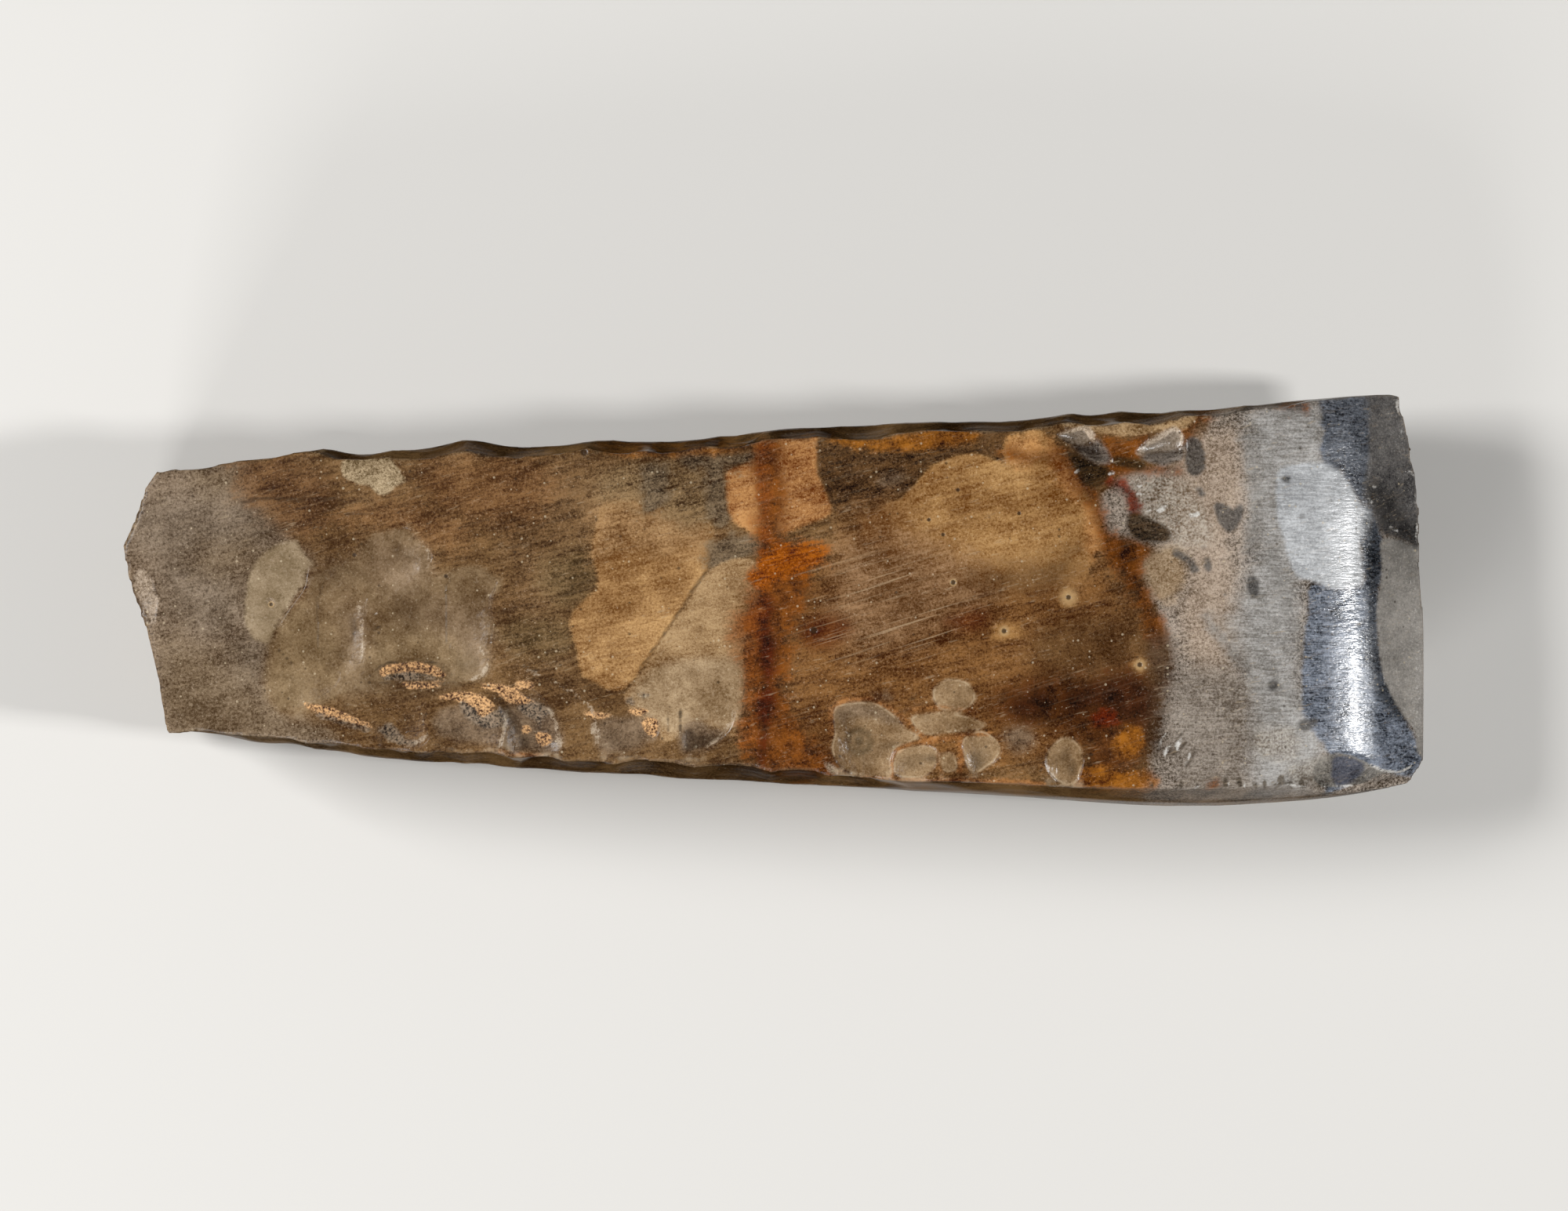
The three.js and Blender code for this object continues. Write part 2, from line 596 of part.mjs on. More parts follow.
function withFlakedSides(solid) {
  let result = solid;
  for (const [side, table] of [[1, LEFT_FLAKE_SHARES], [-1, RIGHT_FLAKE_SHARES]]) {
    for (const [share, width, depth] of table) {
      const wide = width * UPPER_FLAKE_WIDTH_SHARE * LENGTH;
      result = result.subtract(sideFlake(share, side, true, wide, depth * FLAKE_DEPTH));
    }
    const first = FIRST_FLAKE_SHARE * LENGTH;
    const count = Math.floor((LAST_FLAKE_SHARE * LENGTH - first) / FLAKE_STEP);
    for (let i = 0; i <= count; i++) {
      const vary = (beat) => VARIATION_SHARE * Math.sin(i * beat + side);
      const share = (first + (i + vary(FLAKE_BEATS.place)) * FLAKE_STEP) / LENGTH;
      const width = FLAKE_STEP * (LOWER_FLAKE_WIDTH_SHARE + vary(FLAKE_BEATS.width));
      const depth = FLAKE_DEPTH * (LOWER_FLAKE_DEPTH_SHARE + vary(FLAKE_BEATS.depth));
      result = result.subtract(sideFlake(share, side, false, width, depth));
    }
  }
  return result;
}

function withFaceScars(solid) {
  let result = solid;
  for (const scar of UPPER_SCAR_SHARES) result = result.subtract(hollow(scar, scar.depth * SCAR_DEPTH));
  result = result.subtract(hollow(CORNER_CHIP_SHARES, CORNER_CHIP_DEPTH));
  result = result.subtract(hollow(BUTT_CHIP_SHARES, SCAR_DEPTH / 2));
  for (const [share, across, length, width, turn, depth] of LOWER_SCAR_SHARES) {
    const [x, y] = [share * LENGTH, across * WIDTH];
    const at = new THREE.Vector3(x, y, faceHeightAt(x, y, -1));
    const lengthwise = new THREE.Vector3(Math.cos(turn * Math.PI), Math.sin(turn * Math.PI), 0);
    const down = new THREE.Vector3(0, 0, -1);
    result = result.subtract(bowl(at, down, lengthwise, length * LENGTH, width * LENGTH, depth * SCAR_DEPTH));
  }
  return result;
}

function withButtFlakes(solid) {
  let result = solid;
  const up = new THREE.Vector3(0, 0, 1);
  for (const [name, alongLine, level, width, height, depth] of BUTT_FLAKE_SHARES) {
    const { from, to, outwards } = buttFacet(name);
    const at = from.clone().lerp(to, alongLine);
    const rise = MIDDLE_HEIGHT + (2 * level - 1) * halfThicknessAt(0) - at.z;
    at.addScaledVector(up.clone().addScaledVector(outwards, -outwards.z), rise);
    const [tall, wide, deep] = [height * THICKNESS, width * THICKNESS, depth * BUTT_SCAR_DEPTH];
    result = result.subtract(bowl(at, outwards, up, tall, wide, deep));
  }
  return result;
}

function withEdgeNicks(solid) {
  let result = solid;
  const forwards = new THREE.Vector3(1, 0, 0);
  const up = new THREE.Vector3(0, 0, 1);
  for (const [across, size] of EDGE_NICK_SHARES) {
    const at = facePoint(1, across, 1).setZ(MIDDLE_HEIGHT);
    const depth = size * EDGE_NICK_DEPTH;
    const height = NICK_HEIGHT_SHARE * EDGE_NICK_DEPTH;
    result = result.subtract(bowl(at, forwards, up, height, NICK_WIDTH_SHARE * depth, depth));
  }
  return result;
}

// The origin goes to the middle of the axe's own box, on the surface under it.
function centred(geometry) {
  geometry.computeBoundingBox();
  const { min, max } = geometry.boundingBox;
  return geometry.translate(-(min.x + max.x) / 2, -(min.y + max.y) / 2, -min.z);
}

const flint = new THREE.MeshStandardMaterial({ color: 0x8a7459, roughness: 0.38, metalness: 0 });

let stone = withGroundFlats(solidOf(axeBody()));
stone = withStruckButt(stone);
stone = withFlakedSides(stone);
stone = withFaceScars(stone);
stone = withButtFlakes(stone);
stone = withEdgeNicks(stone);

const blade = new THREE.Mesh(centred(geometryOf(stone)), flint);
blade.name = "axe_blade";

const axe = new THREE.Group();
axe.add(blade);

export default axe;
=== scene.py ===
# The looks of the thick-butted flint axe, in metres, around the imported model.
#
# The stone is the CAD solid with its facets smoothed between the ridges, then finer relief, and a
# layered stone material. Each patch of colour in the photograph has an outline of its own, read off
# in the photograph's pixels. An outline becomes a distance on every vertex, and the material paints
# with those distances, so an edge stays sharp and gets a grain of its own.

import math

import bpy
import numpy as np
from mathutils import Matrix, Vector


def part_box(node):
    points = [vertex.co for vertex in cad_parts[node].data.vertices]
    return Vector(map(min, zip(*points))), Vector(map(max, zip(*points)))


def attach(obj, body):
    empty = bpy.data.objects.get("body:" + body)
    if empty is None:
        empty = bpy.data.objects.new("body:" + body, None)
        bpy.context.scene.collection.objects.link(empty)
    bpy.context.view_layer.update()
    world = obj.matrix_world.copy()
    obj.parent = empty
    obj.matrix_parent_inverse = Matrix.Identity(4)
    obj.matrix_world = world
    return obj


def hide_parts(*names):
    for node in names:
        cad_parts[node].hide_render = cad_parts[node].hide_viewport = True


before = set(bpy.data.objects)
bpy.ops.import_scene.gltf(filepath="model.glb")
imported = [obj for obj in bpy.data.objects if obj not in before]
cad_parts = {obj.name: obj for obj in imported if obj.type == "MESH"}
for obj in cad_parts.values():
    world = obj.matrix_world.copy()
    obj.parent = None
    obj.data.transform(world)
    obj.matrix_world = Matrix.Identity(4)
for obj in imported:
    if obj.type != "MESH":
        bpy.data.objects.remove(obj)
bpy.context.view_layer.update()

MM = 0.001

# The photograph's frame, and where the axe's ends and sides are in it, in pixels.
PHOTO_WIDTH, PHOTO_HEIGHT = 2000, 1545
AXE_LEFT_PX, AXE_RIGHT_PX = 159, 1817
AXE_TOP_PX, AXE_BOTTOM_PX = 504, 1028
CAMERA_HEIGHT = 1.4
SENSOR_WIDTH_MM = 36

low_corner, high_corner = (Vector(c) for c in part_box("axe_blade"))
MIDDLE_Z = (low_corner.z + high_corner.z) / 2
PX_PER_M = (AXE_RIGHT_PX - AXE_LEFT_PX) / (high_corner.x - low_corner.x)
FOCAL_PX = PX_PER_M * (CAMERA_HEIGHT - MIDDLE_Z)
CAMERA_X = (PHOTO_WIDTH / 2 - (AXE_LEFT_PX + AXE_RIGHT_PX) / 2) / PX_PER_M
CAMERA_Y = ((AXE_TOP_PX + AXE_BOTTOM_PX) / 2 - PHOTO_HEIGHT / 2) / PX_PER_M

FAR_PX = 60  # distances past this many pixels aren't told apart
CURVE_CUTS = 4  # steps of a curve from one of its points to the next
TINY = 1e-9

# The stone's mesh. A tilt is the part of a normal that points up, or out of a wall.
VOXEL = 0.00055
RIDGE_ANGLE = 10  # faces that meet at more than this many degrees keep the ridge between them
NORMAL_ROUNDS = 20
VERTEX_ROUNDS = 8
UPPER_TILT = 0.25
SIDE_TILTS = (0.3, 0.7)  # from the sides to the broad faces

# Gloss of the stone: on the ground faces, on the polished end, and under the swell of the sides.
FACE_SHEEN, POLISHED_SHEEN, SIDE_SHEEN = 0.28, 0.42, 0.2
POLISH_STARTS_PX = (1440, 1560)
SIDE_SHEEN_TILTS = (-0.1, 0.2)

# Colour bands drift sideways on their way down through the stone, by these pixels.
DRIFT_ACROSS, SWAY_ACROSS, SWAY_ACROSS_LENGTH = 130, 45, 80
SWAY_DOWN, SWAY_DOWN_LENGTH, SWAY_DOWN_START = 85, 210, 0.7

# Flake scars of the walls, in metres: how far along each wall they go, then their sizes.
SCAR_SEED = 11
BACK_SCARS = (-0.086, 0.072)
FRONT_SCARS = (-0.086, 0.012)
BUTT_SCARS = (-0.018, 0.018)
SCAR_WIDTH = (0.007, 0.02)
SCAR_REACH = (0.4, 0.95)  # shares of the wall's height
SCAR_DEPTH = (0.0007, 0.0016)
SCAR_LEAN = 0.3  # share of a scar's width
SCAR_SPACING = (0.45, 0.8)  # shares of a scar's width
SCAR_START_POWER = 0.6  # under 1, a scar is deepest near the blow
SCAR_NARROW, SCAR_SWELL = 0.65, 0.35  # shares of its width at its ends, and added in its middle
MIDLINE_SHARE = 0.25  # depth that scars keep along the wall's widest line
MIDLINE_BAND = (0.04, 0.3)  # shares of the wall's height away from that line
WALL_TILTS = (0.55, 0.8)  # up or down, from the walls to the broad faces
SIDE_WALL_TILTS = (0.35, 0.65)
BUTT_WALL_TILTS = (0.5, 0.7)
WALL_ROUNDS = 6
WALL_STEP = 0.001
WALL_EVEN = 5  # an arris is evened out over this many steps


def ramp(value, low, high):
    """A smooth rise from 0 to 1 between two values."""
    t = np.clip((value - low) / (high - low), 0, 1)
    return t * t * (3 - 2 * t)


def to_photo(points):
    """Where points of the row frame are in the photograph, in pixels."""
    depth = CAMERA_HEIGHT - points[:, 2]
    across = PHOTO_WIDTH / 2 + FOCAL_PX * (points[:, 0] - CAMERA_X) / depth
    down = PHOTO_HEIGHT / 2 - FOCAL_PX * (points[:, 1] - CAMERA_Y) / depth
    return np.stack([across, down], axis=1)


# Outlines and drawn lines


def rounded(corners):
    """A closed curve through the corners."""
    before, after, second = (np.roll(corners, turn, axis=0) for turn in (1, -1, -2))
    rows = [
        0.5
        * (
            2 * corners
            + (after - before) * t
            + (2 * before - 5 * corners + 4 * after - second) * t**2
            + (3 * corners - before - 3 * after + second) * t**3
        )
        for t in np.arange(CURVE_CUTS) / CURVE_CUTS
    ]
    return np.stack(rows, axis=1).reshape(-1, 2)


def rounded_line(points):
    """An open curve through the points."""
    before, after = 2 * points[0] - points[1], 2 * points[-1] - points[-2]
    closed = rounded(np.array([before, *points, after]))
    return closed[CURVE_CUTS : CURVE_CUTS * len(points) + 1]


def as_places(row):
    """A flat row of numbers as places, across then down."""
    return np.array(row, float).reshape(-1, 2)


def near_to(where, line, margin):
    """Which places are in the box around a line, with a margin."""
    low, high = line.min(axis=0) - margin, line.max(axis=0) + margin
    return np.all((where > low) & (where < high), axis=1)


def nearest_on(where, start, end):
    """The share of an edge at the point nearest to each place, and the gap from there."""
    run = end - start
    t = np.clip(((where - start) @ run) / max(run @ run, TINY), 0, 1)
    return t, where - start - t[:, None] * run


def edge_distance(where, starts, ends):
    """The distance from each place to the nearest of some straight edges."""
    nearest = np.full(len(where), np.inf)
    for start, end in zip(starts, ends):
        gap = nearest_on(where, start, end)[1]
        nearest = np.minimum(nearest, np.einsum("ij,ij->i", gap, gap))
    return np.sqrt(nearest)


def inside(where, starts, ends):
    """Which places are inside a closed outline."""
    result = np.zeros(len(where), bool)
    for (x0, y0), (x1, y1) in zip(starts, ends):
        if y0 != y1:
            spans = (y0 > where[:, 1]) != (y1 > where[:, 1])
            crossing = x0 + (where[:, 1] - y0) * (x1 - x0) / (y1 - y0)
            result ^= spans & (where[:, 0] < crossing)
    return result


def patch_distance(where, rows):
    """How far inside a patch each place is, in pixels, and less than zero outside it."""
    result = np.full(len(where), -float(FAR_PX))
    for row in rows:
        drawn = isinstance(row, tuple)
        line = as_places(row[1:]) if drawn else rounded(as_places(row))
        near = near_to(where, line, FAR_PX)
        spots = where[near]
        if drawn:
            distance = row[0] / 2 - edge_distance(spots, line[:-1], line[1:])
        else:
            ends = np.roll(line, -1, axis=0)
            distance = edge_distance(spots, line, ends)
            distance = np.where(inside(spots, line, ends), distance, -distance)
        result[near] = np.maximum(result[near], np.clip(distance, -FAR_PX, FAR_PX))
    return result


def line_place(where, points):
    """The distance to a line, the side of it, the way along it and the line's length."""
    gap = np.full(len(where), np.inf)
    side, along, travelled = np.zeros(len(where)), np.zeros(len(where)), 0.0
    for start, end in zip(points[:-1], points[1:]):
        run = end - start
        length = math.hypot(*run)
        t, offset = nearest_on(where, start, end)
        distance = np.sqrt(np.einsum("ij,ij->i", offset, offset))
        nearer = distance < gap
        cross = run[0] * (where[:, 1] - start[1]) - run[1] * (where[:, 0] - start[0])
        gap = np.where(nearer, distance, gap)
        side = np.where(nearer, np.sign(cross), side)
        along = np.where(nearer, travelled + t * length, along)
        travelled += length
    return gap, side, along, travelled


# The stone's mesh


def remeshed_solid(source):
    """A fine even mesh of the CAD solid, as vertices and four-sided faces."""
    rough = bpy.data.objects.new("rough_stone", source.data.copy())
    bpy.context.scene.collection.objects.link(rough)
    remesh = rough.modifiers.new("even_mesh", "REMESH")
    remesh.mode = "VOXEL"
    remesh.voxel_size = VOXEL
    graph = bpy.context.evaluated_depsgraph_get()
    mesh = bpy.data.meshes.new_from_object(rough.evaluated_get(graph))
    bpy.data.objects.remove(rough)
    vertices = np.zeros(len(mesh.vertices) * 3)
    mesh.vertices.foreach_get("co", vertices)
    faces = np.zeros(len(mesh.loops), int)
    mesh.loops.foreach_get("vertex_index", faces)
    return vertices.reshape(-1, 3), faces.reshape(-1, 4)


def sum_at(index, values, count):
    """The sum of the rows of values that go to each of count places."""
    columns = [np.bincount(index, values[:, i], count) for i in range(values.shape[1])]
    return np.stack(columns, axis=1)


def unit(vectors):
    """The vectors at a length of one."""
    return vectors / np.maximum(np.linalg.norm(vectors, axis=1), 1e-12)[:, None]


def face_normals(vertices, faces):
    """The direction that each face looks in."""
    a, b, c, d = (vertices[faces[:, i]] for i in range(4))
    return unit(np.cross(c - a, d - b))


def vertex_normals(vertices, faces):
    """The mean direction of the faces at each vertex."""
    normals = np.repeat(face_normals(vertices, faces), 4, axis=0)
    return unit(sum_at(faces.ravel(), normals, len(vertices)))


def neighbour_pairs(faces):
    """Pairs of faces that share an edge."""
    starts, ends = faces.ravel(), np.roll(faces, -1, axis=1).ravel()
    key = np.minimum(starts, ends) * (faces.max() + 1) + np.maximum(starts, ends)
    order = np.argsort(key, kind="stable")
    shared = key[order][1:] == key[order][:-1]
    return order[:-1][shared] // 4, order[1:][shared] // 4


def smoothed_between_ridges(vertices, faces):
    """Rounds off facets and voxel steps, and keeps each ridge between two flake scars sharp."""
    one, other = neighbour_pairs(faces)
    normals = face_normals(vertices, faces)
    limit = math.cos(math.radians(RIDGE_ANGLE))
    count = len(faces)
    for _ in range(NORMAL_ROUNDS):
        likeness = np.einsum("ij,ij->i", normals[one], normals[other])
        weight = (np.maximum(likeness - limit, 0) ** 2)[:, None]
        pull = sum_at(one, weight * normals[other], count)
        pull += sum_at(other, weight * normals[one], count)
        normals = unit((1 - limit) ** 2 * normals + pull)
    corners = faces.ravel()
    uses = np.bincount(corners, minlength=len(vertices))[:, None]
    for _ in range(VERTEX_ROUNDS):
        offset = vertices[faces].mean(axis=1)[:, None, :] - vertices[faces]
        height = np.einsum("ijk,ik->ij", offset, normals)
        moves = (height[:, :, None] * normals[:, None, :]).reshape(-1, 3)
        vertices = vertices + sum_at(corners, moves, len(vertices)) / uses
    return vertices


def evened(values, faces, rounds):
    """Values on the vertices, each evened out with its neighbours' some times over."""
    corners = faces.ravel()
    uses = np.bincount(corners, minlength=len(values))
    for _ in range(rounds):
        means = values[faces].mean(axis=1).repeat(4)
        values = np.bincount(corners, means, len(values)) / uses
    return values


def ridge_measure(vertices, faces):
    """How far each vertex stands out from its neighbours in millimetres, above zero on ridges."""
    corners = faces.ravel()
    total = sum_at(corners, vertices[np.roll(faces, -1, axis=1).ravel()], len(vertices))
    middle = total / np.bincount(corners, minlength=len(vertices))[:, None]
    out = np.einsum("ij,ij->i", vertices - middle, vertex_normals(vertices, faces)) / MM
    return evened(out, faces, 2)


# Colour patches. Each has a dark and a light tone as sRGB from 0 to 255, a grain that mixes the
# two, the half width of its edge in pixels, how far the grain pushes the edge about, an opacity,
# and outlines in the photograph's pixels. An outline is a list of places, each across then down. A
# drawn line is a tuple, its width and then its places. A later patch covers an earlier one. A patch
# runs through the stone, and a mark is on the upper face only.

PATCHES = {}


def patch(name, dark, light, grain, soft, rag, opacity, *rows, on_top=False):
    """Adds a patch that runs through the stone, or is on the upper face only."""
    PATCHES[name] = dict(
        tones=(dark, light), grain=grain, soft=soft, rag=rag, opacity=opacity, rows=rows,
        on_top=on_top,
    )


def mark(*facts):
    """Adds a patch of the upper face."""
    patch(*facts, on_top=True)


BASE_TONES = ((64, 38, 12), (134, 102, 64))

# Crushed nicks along the lower arris near the cutting edge: place and width in pixels.
NICKS = [
    (1468, 1001, 4), (1505, 1000, 6), (1527, 1003, 4), (1563, 998, 8),
    (1580, 998, 8), (1600, 1001, 5), (1613, 1001, 6), (1625, 1001, 5),
    (1634, 996, 9), (1645, 1001, 6), (1660, 1000, 7), (1682, 1002, 4),
]

patch(
    "butt_grey", (58, 38, 16), (148, 128, 106), "matt", 12, 30, 1.0,
    [130, 520, 262, 560, 318, 600, 322, 640, 345, 664, 372, 688, 396, 715, 388, 745, 365, 790,
     345, 830, 338, 870, 360, 912, 420, 935, 440, 1010, 130, 1010],
)
patch(
    "butt_blue", (84, 70, 54), (142, 126, 108), "matt", 26, 50, 0.6,
    [165, 655, 200, 640, 250, 630, 318, 636, 350, 668, 340, 690, 300, 706, 250, 712, 190, 706],
    [210, 700, 262, 716, 300, 736, 300, 800, 262, 812, 222, 780, 205, 740],
    [300, 815, 335, 812, 345, 850, 320, 872, 295, 850],
)
patch(
    "butt_tan", (82, 62, 38), (146, 126, 100), "matt", 30, 40, 0.7,
    [212, 820, 300, 850, 350, 905, 420, 935, 330, 945, 215, 932],
    [250, 600, 300, 596, 310, 625, 262, 632], [262, 700, 312, 690, 322, 712, 290, 735, 255, 724],
)
patch(
    "rust_streaks", (52, 24, 2), (128, 92, 56), "streak", 20, 60, 0.85,
    [300, 596, 345, 583, 400, 600, 425, 625, 420, 650, 402, 676, 385, 684, 360, 672, 330, 652,
     310, 640, 300, 615],
    [620, 625, 700, 618, 730, 640, 700, 660, 640, 662],
)
patch(
    "olive_patch", (124, 106, 78), (182, 162, 134), "smooth", 4, 8, 1.0,
    [345, 700, 360, 693, 379, 690, 385, 705, 396, 718, 390, 733, 388, 745, 378, 756, 366, 776,
     357, 790, 351, 806, 342, 819, 325, 814, 312, 790, 314, 760, 318, 735, 328, 715],
)
patch(
    "dark_band", (50, 26, 2), (134, 102, 66), "streak", 22, 60, 0.9,
    [640, 590, 700, 580, 780, 588, 792, 604, 770, 628, 764, 660, 757, 700, 763, 745, 727, 790,
     735, 830, 741, 862, 765, 884, 720, 894, 690, 882, 660, 862, 642, 840, 632, 800, 642, 760,
     652, 730, 640, 690, 630, 650],
)
patch(
    "orange_brown", (74, 38, 6), (152, 110, 68), "streak", 26, 60, 0.6,
    [545, 590, 640, 580, 700, 600, 690, 655, 600, 668, 550, 640],
    [440, 650, 540, 640, 600, 680, 560, 700, 470, 672],
)
patch(
    "dark_green", (58, 42, 16), (136, 110, 74), "streak", 18, 50, 0.8,
    [700, 715, 735, 698, 757, 704, 764, 742, 738, 770, 712, 772, 690, 745],
    [640, 800, 690, 788, 724, 800, 728, 830, 690, 838, 650, 826],
)
patch(
    "scarred_grey", (88, 64, 36), (154, 130, 98), "smooth", 7, 16, 0.92,
    [345, 830, 352, 805, 372, 780, 390, 760, 400, 735, 430, 722, 455, 712, 462, 694, 478, 683,
     500, 676, 520, 674, 535, 690, 548, 705, 549, 717, 552, 735, 600, 722, 636, 738, 634, 752,
     625, 762, 620, 780, 628, 800, 622, 825, 625, 842, 622, 858, 600, 870, 560, 873, 510, 872,
     470, 880, 440, 885, 420, 895, 385, 903, 358, 905, 345, 890, 340, 860],
)
patch(
    "scar_pink", (98, 76, 50), (162, 138, 112), "smooth", 24, 30, 0.6,
    [480, 690, 530, 700, 545, 730, 520, 760, 480, 740, 465, 712],
    [540, 770, 600, 770, 622, 800, 610, 850, 560, 820, 530, 800],
    [445, 770, 466, 790, 466, 830, 450, 840, 440, 810],
)
patch(
    "scar_olive", (84, 60, 28), (160, 136, 102), "smooth", 20, 24, 0.75,
    [352, 806, 380, 776, 402, 790, 430, 820, 424, 850, 432, 864, 410, 884, 385, 898, 358, 900,
     345, 870],
    [500, 800, 560, 806, 600, 850, 560, 850, 510, 842, 480, 850, 470, 830],
)
patch(
    "scar_dark", (72, 50, 26), (134, 112, 84), "smooth", 20, 24, 0.7,
    [505, 760, 535, 752, 545, 790, 520, 806, 500, 790],
    [400, 720, 440, 712, 455, 735, 425, 750, 402, 742],
    [470, 850, 484, 868, 520, 872, 580, 874, 560, 884, 470, 890, 440, 900, 450, 870],
)
patch(
    "ochre", (112, 70, 26), (206, 164, 110), "ochre", 3.5, 9, 1.0,
    [770, 645, 790, 638, 830, 640, 870, 650, 905, 665, 910, 690, 906, 720, 882, 758, 860, 790,
     840, 822, 820, 852, 800, 876, 784, 880, 765, 875, 745, 862, 740, 855, 735, 830, 727, 790,
     745, 765, 762, 746, 755, 700, 762, 668],
)
patch(
    "ochre_grey", (90, 56, 22), (180, 142, 98), "streak", 22, 50, 0.8,
    [768, 640, 830, 640, 905, 665, 908, 700, 860, 706, 800, 700, 758, 712],
)
patch(
    "green_brown", (50, 28, 4), (154, 126, 88), "streak", 18, 50, 0.9,
    [775, 600, 830, 588, 900, 592, 912, 640, 905, 672, 870, 672, 830, 655, 800, 640, 770, 634,
     760, 618],
)
patch(
    "ochre_patch", (106, 50, 4), (206, 152, 94), "ochre", 3.5, 9, 1.0,
    [925, 606, 931, 598, 946, 592, 960, 584, 962, 566, 985, 556, 1012, 552, 1040, 552, 1046, 575,
     1043, 600, 1050, 620, 1058, 640, 1060, 655, 1040, 666, 1020, 673, 1000, 680, 976, 683,
     960, 681, 945, 672, 932, 662, 927, 648, 926, 625],
)
patch(
    "blue_grey_streaks", (24, 8, 0), (136, 116, 90), "streak", 7, 36, 0.88,
    [898, 590, 925, 588, 924, 605, 925, 640, 932, 662, 918, 672, 905, 655, 902, 620],
    [893, 716, 902, 700, 912, 690, 940, 682, 966, 686, 985, 692, 970, 705, 946, 715, 930, 723,
     912, 727, 897, 722],
    [820, 592, 850, 596, 852, 628, 840, 655, 822, 650, 818, 615],
    [870, 578, 930, 580, 962, 574, 978, 570, 965, 588, 930, 600, 880, 598],
)
patch(
    "grey_beige", (96, 58, 10), (188, 156, 114), "ochre", 2.5, 7, 1.0,
    [905, 728, 935, 714, 962, 714, 972, 735, 968, 770, 958, 800, 948, 832, 950, 850, 948, 880,
     945, 910, 938, 925, 937, 942, 920, 932, 905, 925, 880, 920, 862, 940, 846, 945, 838, 930,
     815, 915, 800, 900, 797, 885, 820, 855, 840, 822, 860, 792, 885, 755],
)
patch(
    "pale_beige", (122, 96, 64), (204, 178, 142), "smooth", 10, 14, 0.9,
    [835, 850, 870, 842, 920, 840, 946, 850, 948, 885, 944, 912, 930, 930, 905, 922, 880, 918,
     860, 935, 842, 925, 815, 905, 808, 880],
)
patch(
    "dark_top", (22, 4, 0), (112, 80, 46), "streak", 4, 14, 1.0,
    [1046, 552, 1080, 548, 1120, 558, 1170, 552, 1240, 545, 1285, 545, 1284, 575, 1282, 590,
     1270, 588, 1250, 580, 1225, 580, 1200, 588, 1180, 601, 1165, 620, 1150, 630, 1130, 637,
     1110, 643, 1090, 651, 1075, 656, 1065, 650, 1058, 635, 1050, 615, 1043, 600],
)
patch(
    "tan_field", (104, 58, 8), (192, 150, 96), "ochre", 3, 8, 1.0,
    [1150, 634, 1165, 621, 1180, 602, 1200, 589, 1225, 580, 1250, 580, 1270, 588, 1284, 591,
     1279, 572, 1285, 560, 1300, 553, 1325, 550, 1340, 560, 1350, 572, 1362, 590, 1375, 615,
     1390, 630, 1400, 645, 1405, 670, 1403, 690, 1394, 715, 1380, 745, 1330, 770, 1230, 745,
     1150, 720, 1105, 690, 1100, 665, 1125, 648],
)
patch(
    "tan_haze", (88, 48, 12), (154, 114, 72), "streak", 34, 70, 0.85,
    [1055, 700, 1090, 655, 1140, 640, 1170, 680, 1250, 720, 1330, 730, 1360, 760, 1250, 780,
     1120, 780, 1060, 750],
)
patch(
    "brown_field", (62, 26, 0), (144, 100, 54), "streak", 30, 60, 0.9,
    [1005, 750, 1050, 728, 1110, 742, 1180, 752, 1250, 742, 1300, 742, 1350, 752, 1380, 730,
     1408, 700, 1425, 740, 1450, 800, 1462, 850, 1462, 905, 1400, 960, 1200, 990, 1060, 990,
     1000, 930],
)
patch(
    "tan_rim", (96, 40, 0), (206, 150, 90), "vein", 8, 26, 0.75,
    [1336, 560, 1350, 572, 1366, 592, 1384, 618, 1372, 640, 1352, 616, 1338, 590],
    [1284, 566, 1310, 556, 1330, 566, 1318, 590, 1294, 598],
    [1386, 640, 1400, 652, 1406, 690, 1394, 716, 1384, 690],
)
patch(
    "grey_brown", (98, 64, 28), (172, 138, 104), "streak", 30, 60, 0.6,
    [1080, 706, 1150, 690, 1240, 720, 1260, 760, 1200, 800, 1110, 830, 1060, 800, 1066, 750],
)
patch(
    "olive_shade", (56, 30, 4), (124, 92, 56), "smooth", 26, 50, 0.75,
    [1330, 800, 1400, 780, 1452, 800, 1458, 840, 1400, 870, 1340, 862, 1310, 830],
    [1290, 722, 1340, 716, 1372, 700, 1360, 740, 1300, 752, 1240, 740],
)
patch(
    "dark_rust", (20, 2, 0), (108, 62, 22), "vein", 20, 46, 0.92,
    [1330, 862, 1400, 862, 1450, 850, 1472, 880, 1476, 910, 1466, 950, 1440, 1000, 1400, 1010,
     1372, 1000, 1384, 955, 1345, 930, 1290, 925, 1262, 895, 1290, 872],
)
patch(
    "rust_black", (14, 4, 0), (70, 32, 8), "vein", 14, 40, 0.85,
    [1355, 890, 1395, 872, 1440, 862, 1468, 880, 1472, 915, 1440, 920, 1400, 905, 1370, 912],
    [1290, 900, 1318, 884, 1345, 890, 1330, 908, 1300, 914],
)
patch(
    "rust_vein", (30, 0, 0), (142, 80, 20), "vein", 12, 40, 0.94,
    [966, 575, 988, 560, 996, 590, 1003, 640, 1000, 680, 1010, 700, 1030, 732, 1026, 770, 1012, 800,
     1006, 850, 1004, 900, 1030, 940, 1060, 970, 1050, 1000, 985, 990, 960, 975, 948, 955, 952, 900,
     952, 850, 954, 810, 946, 790, 957, 770, 964, 740, 967, 700, 966, 680, 969, 640, 966, 600],
)
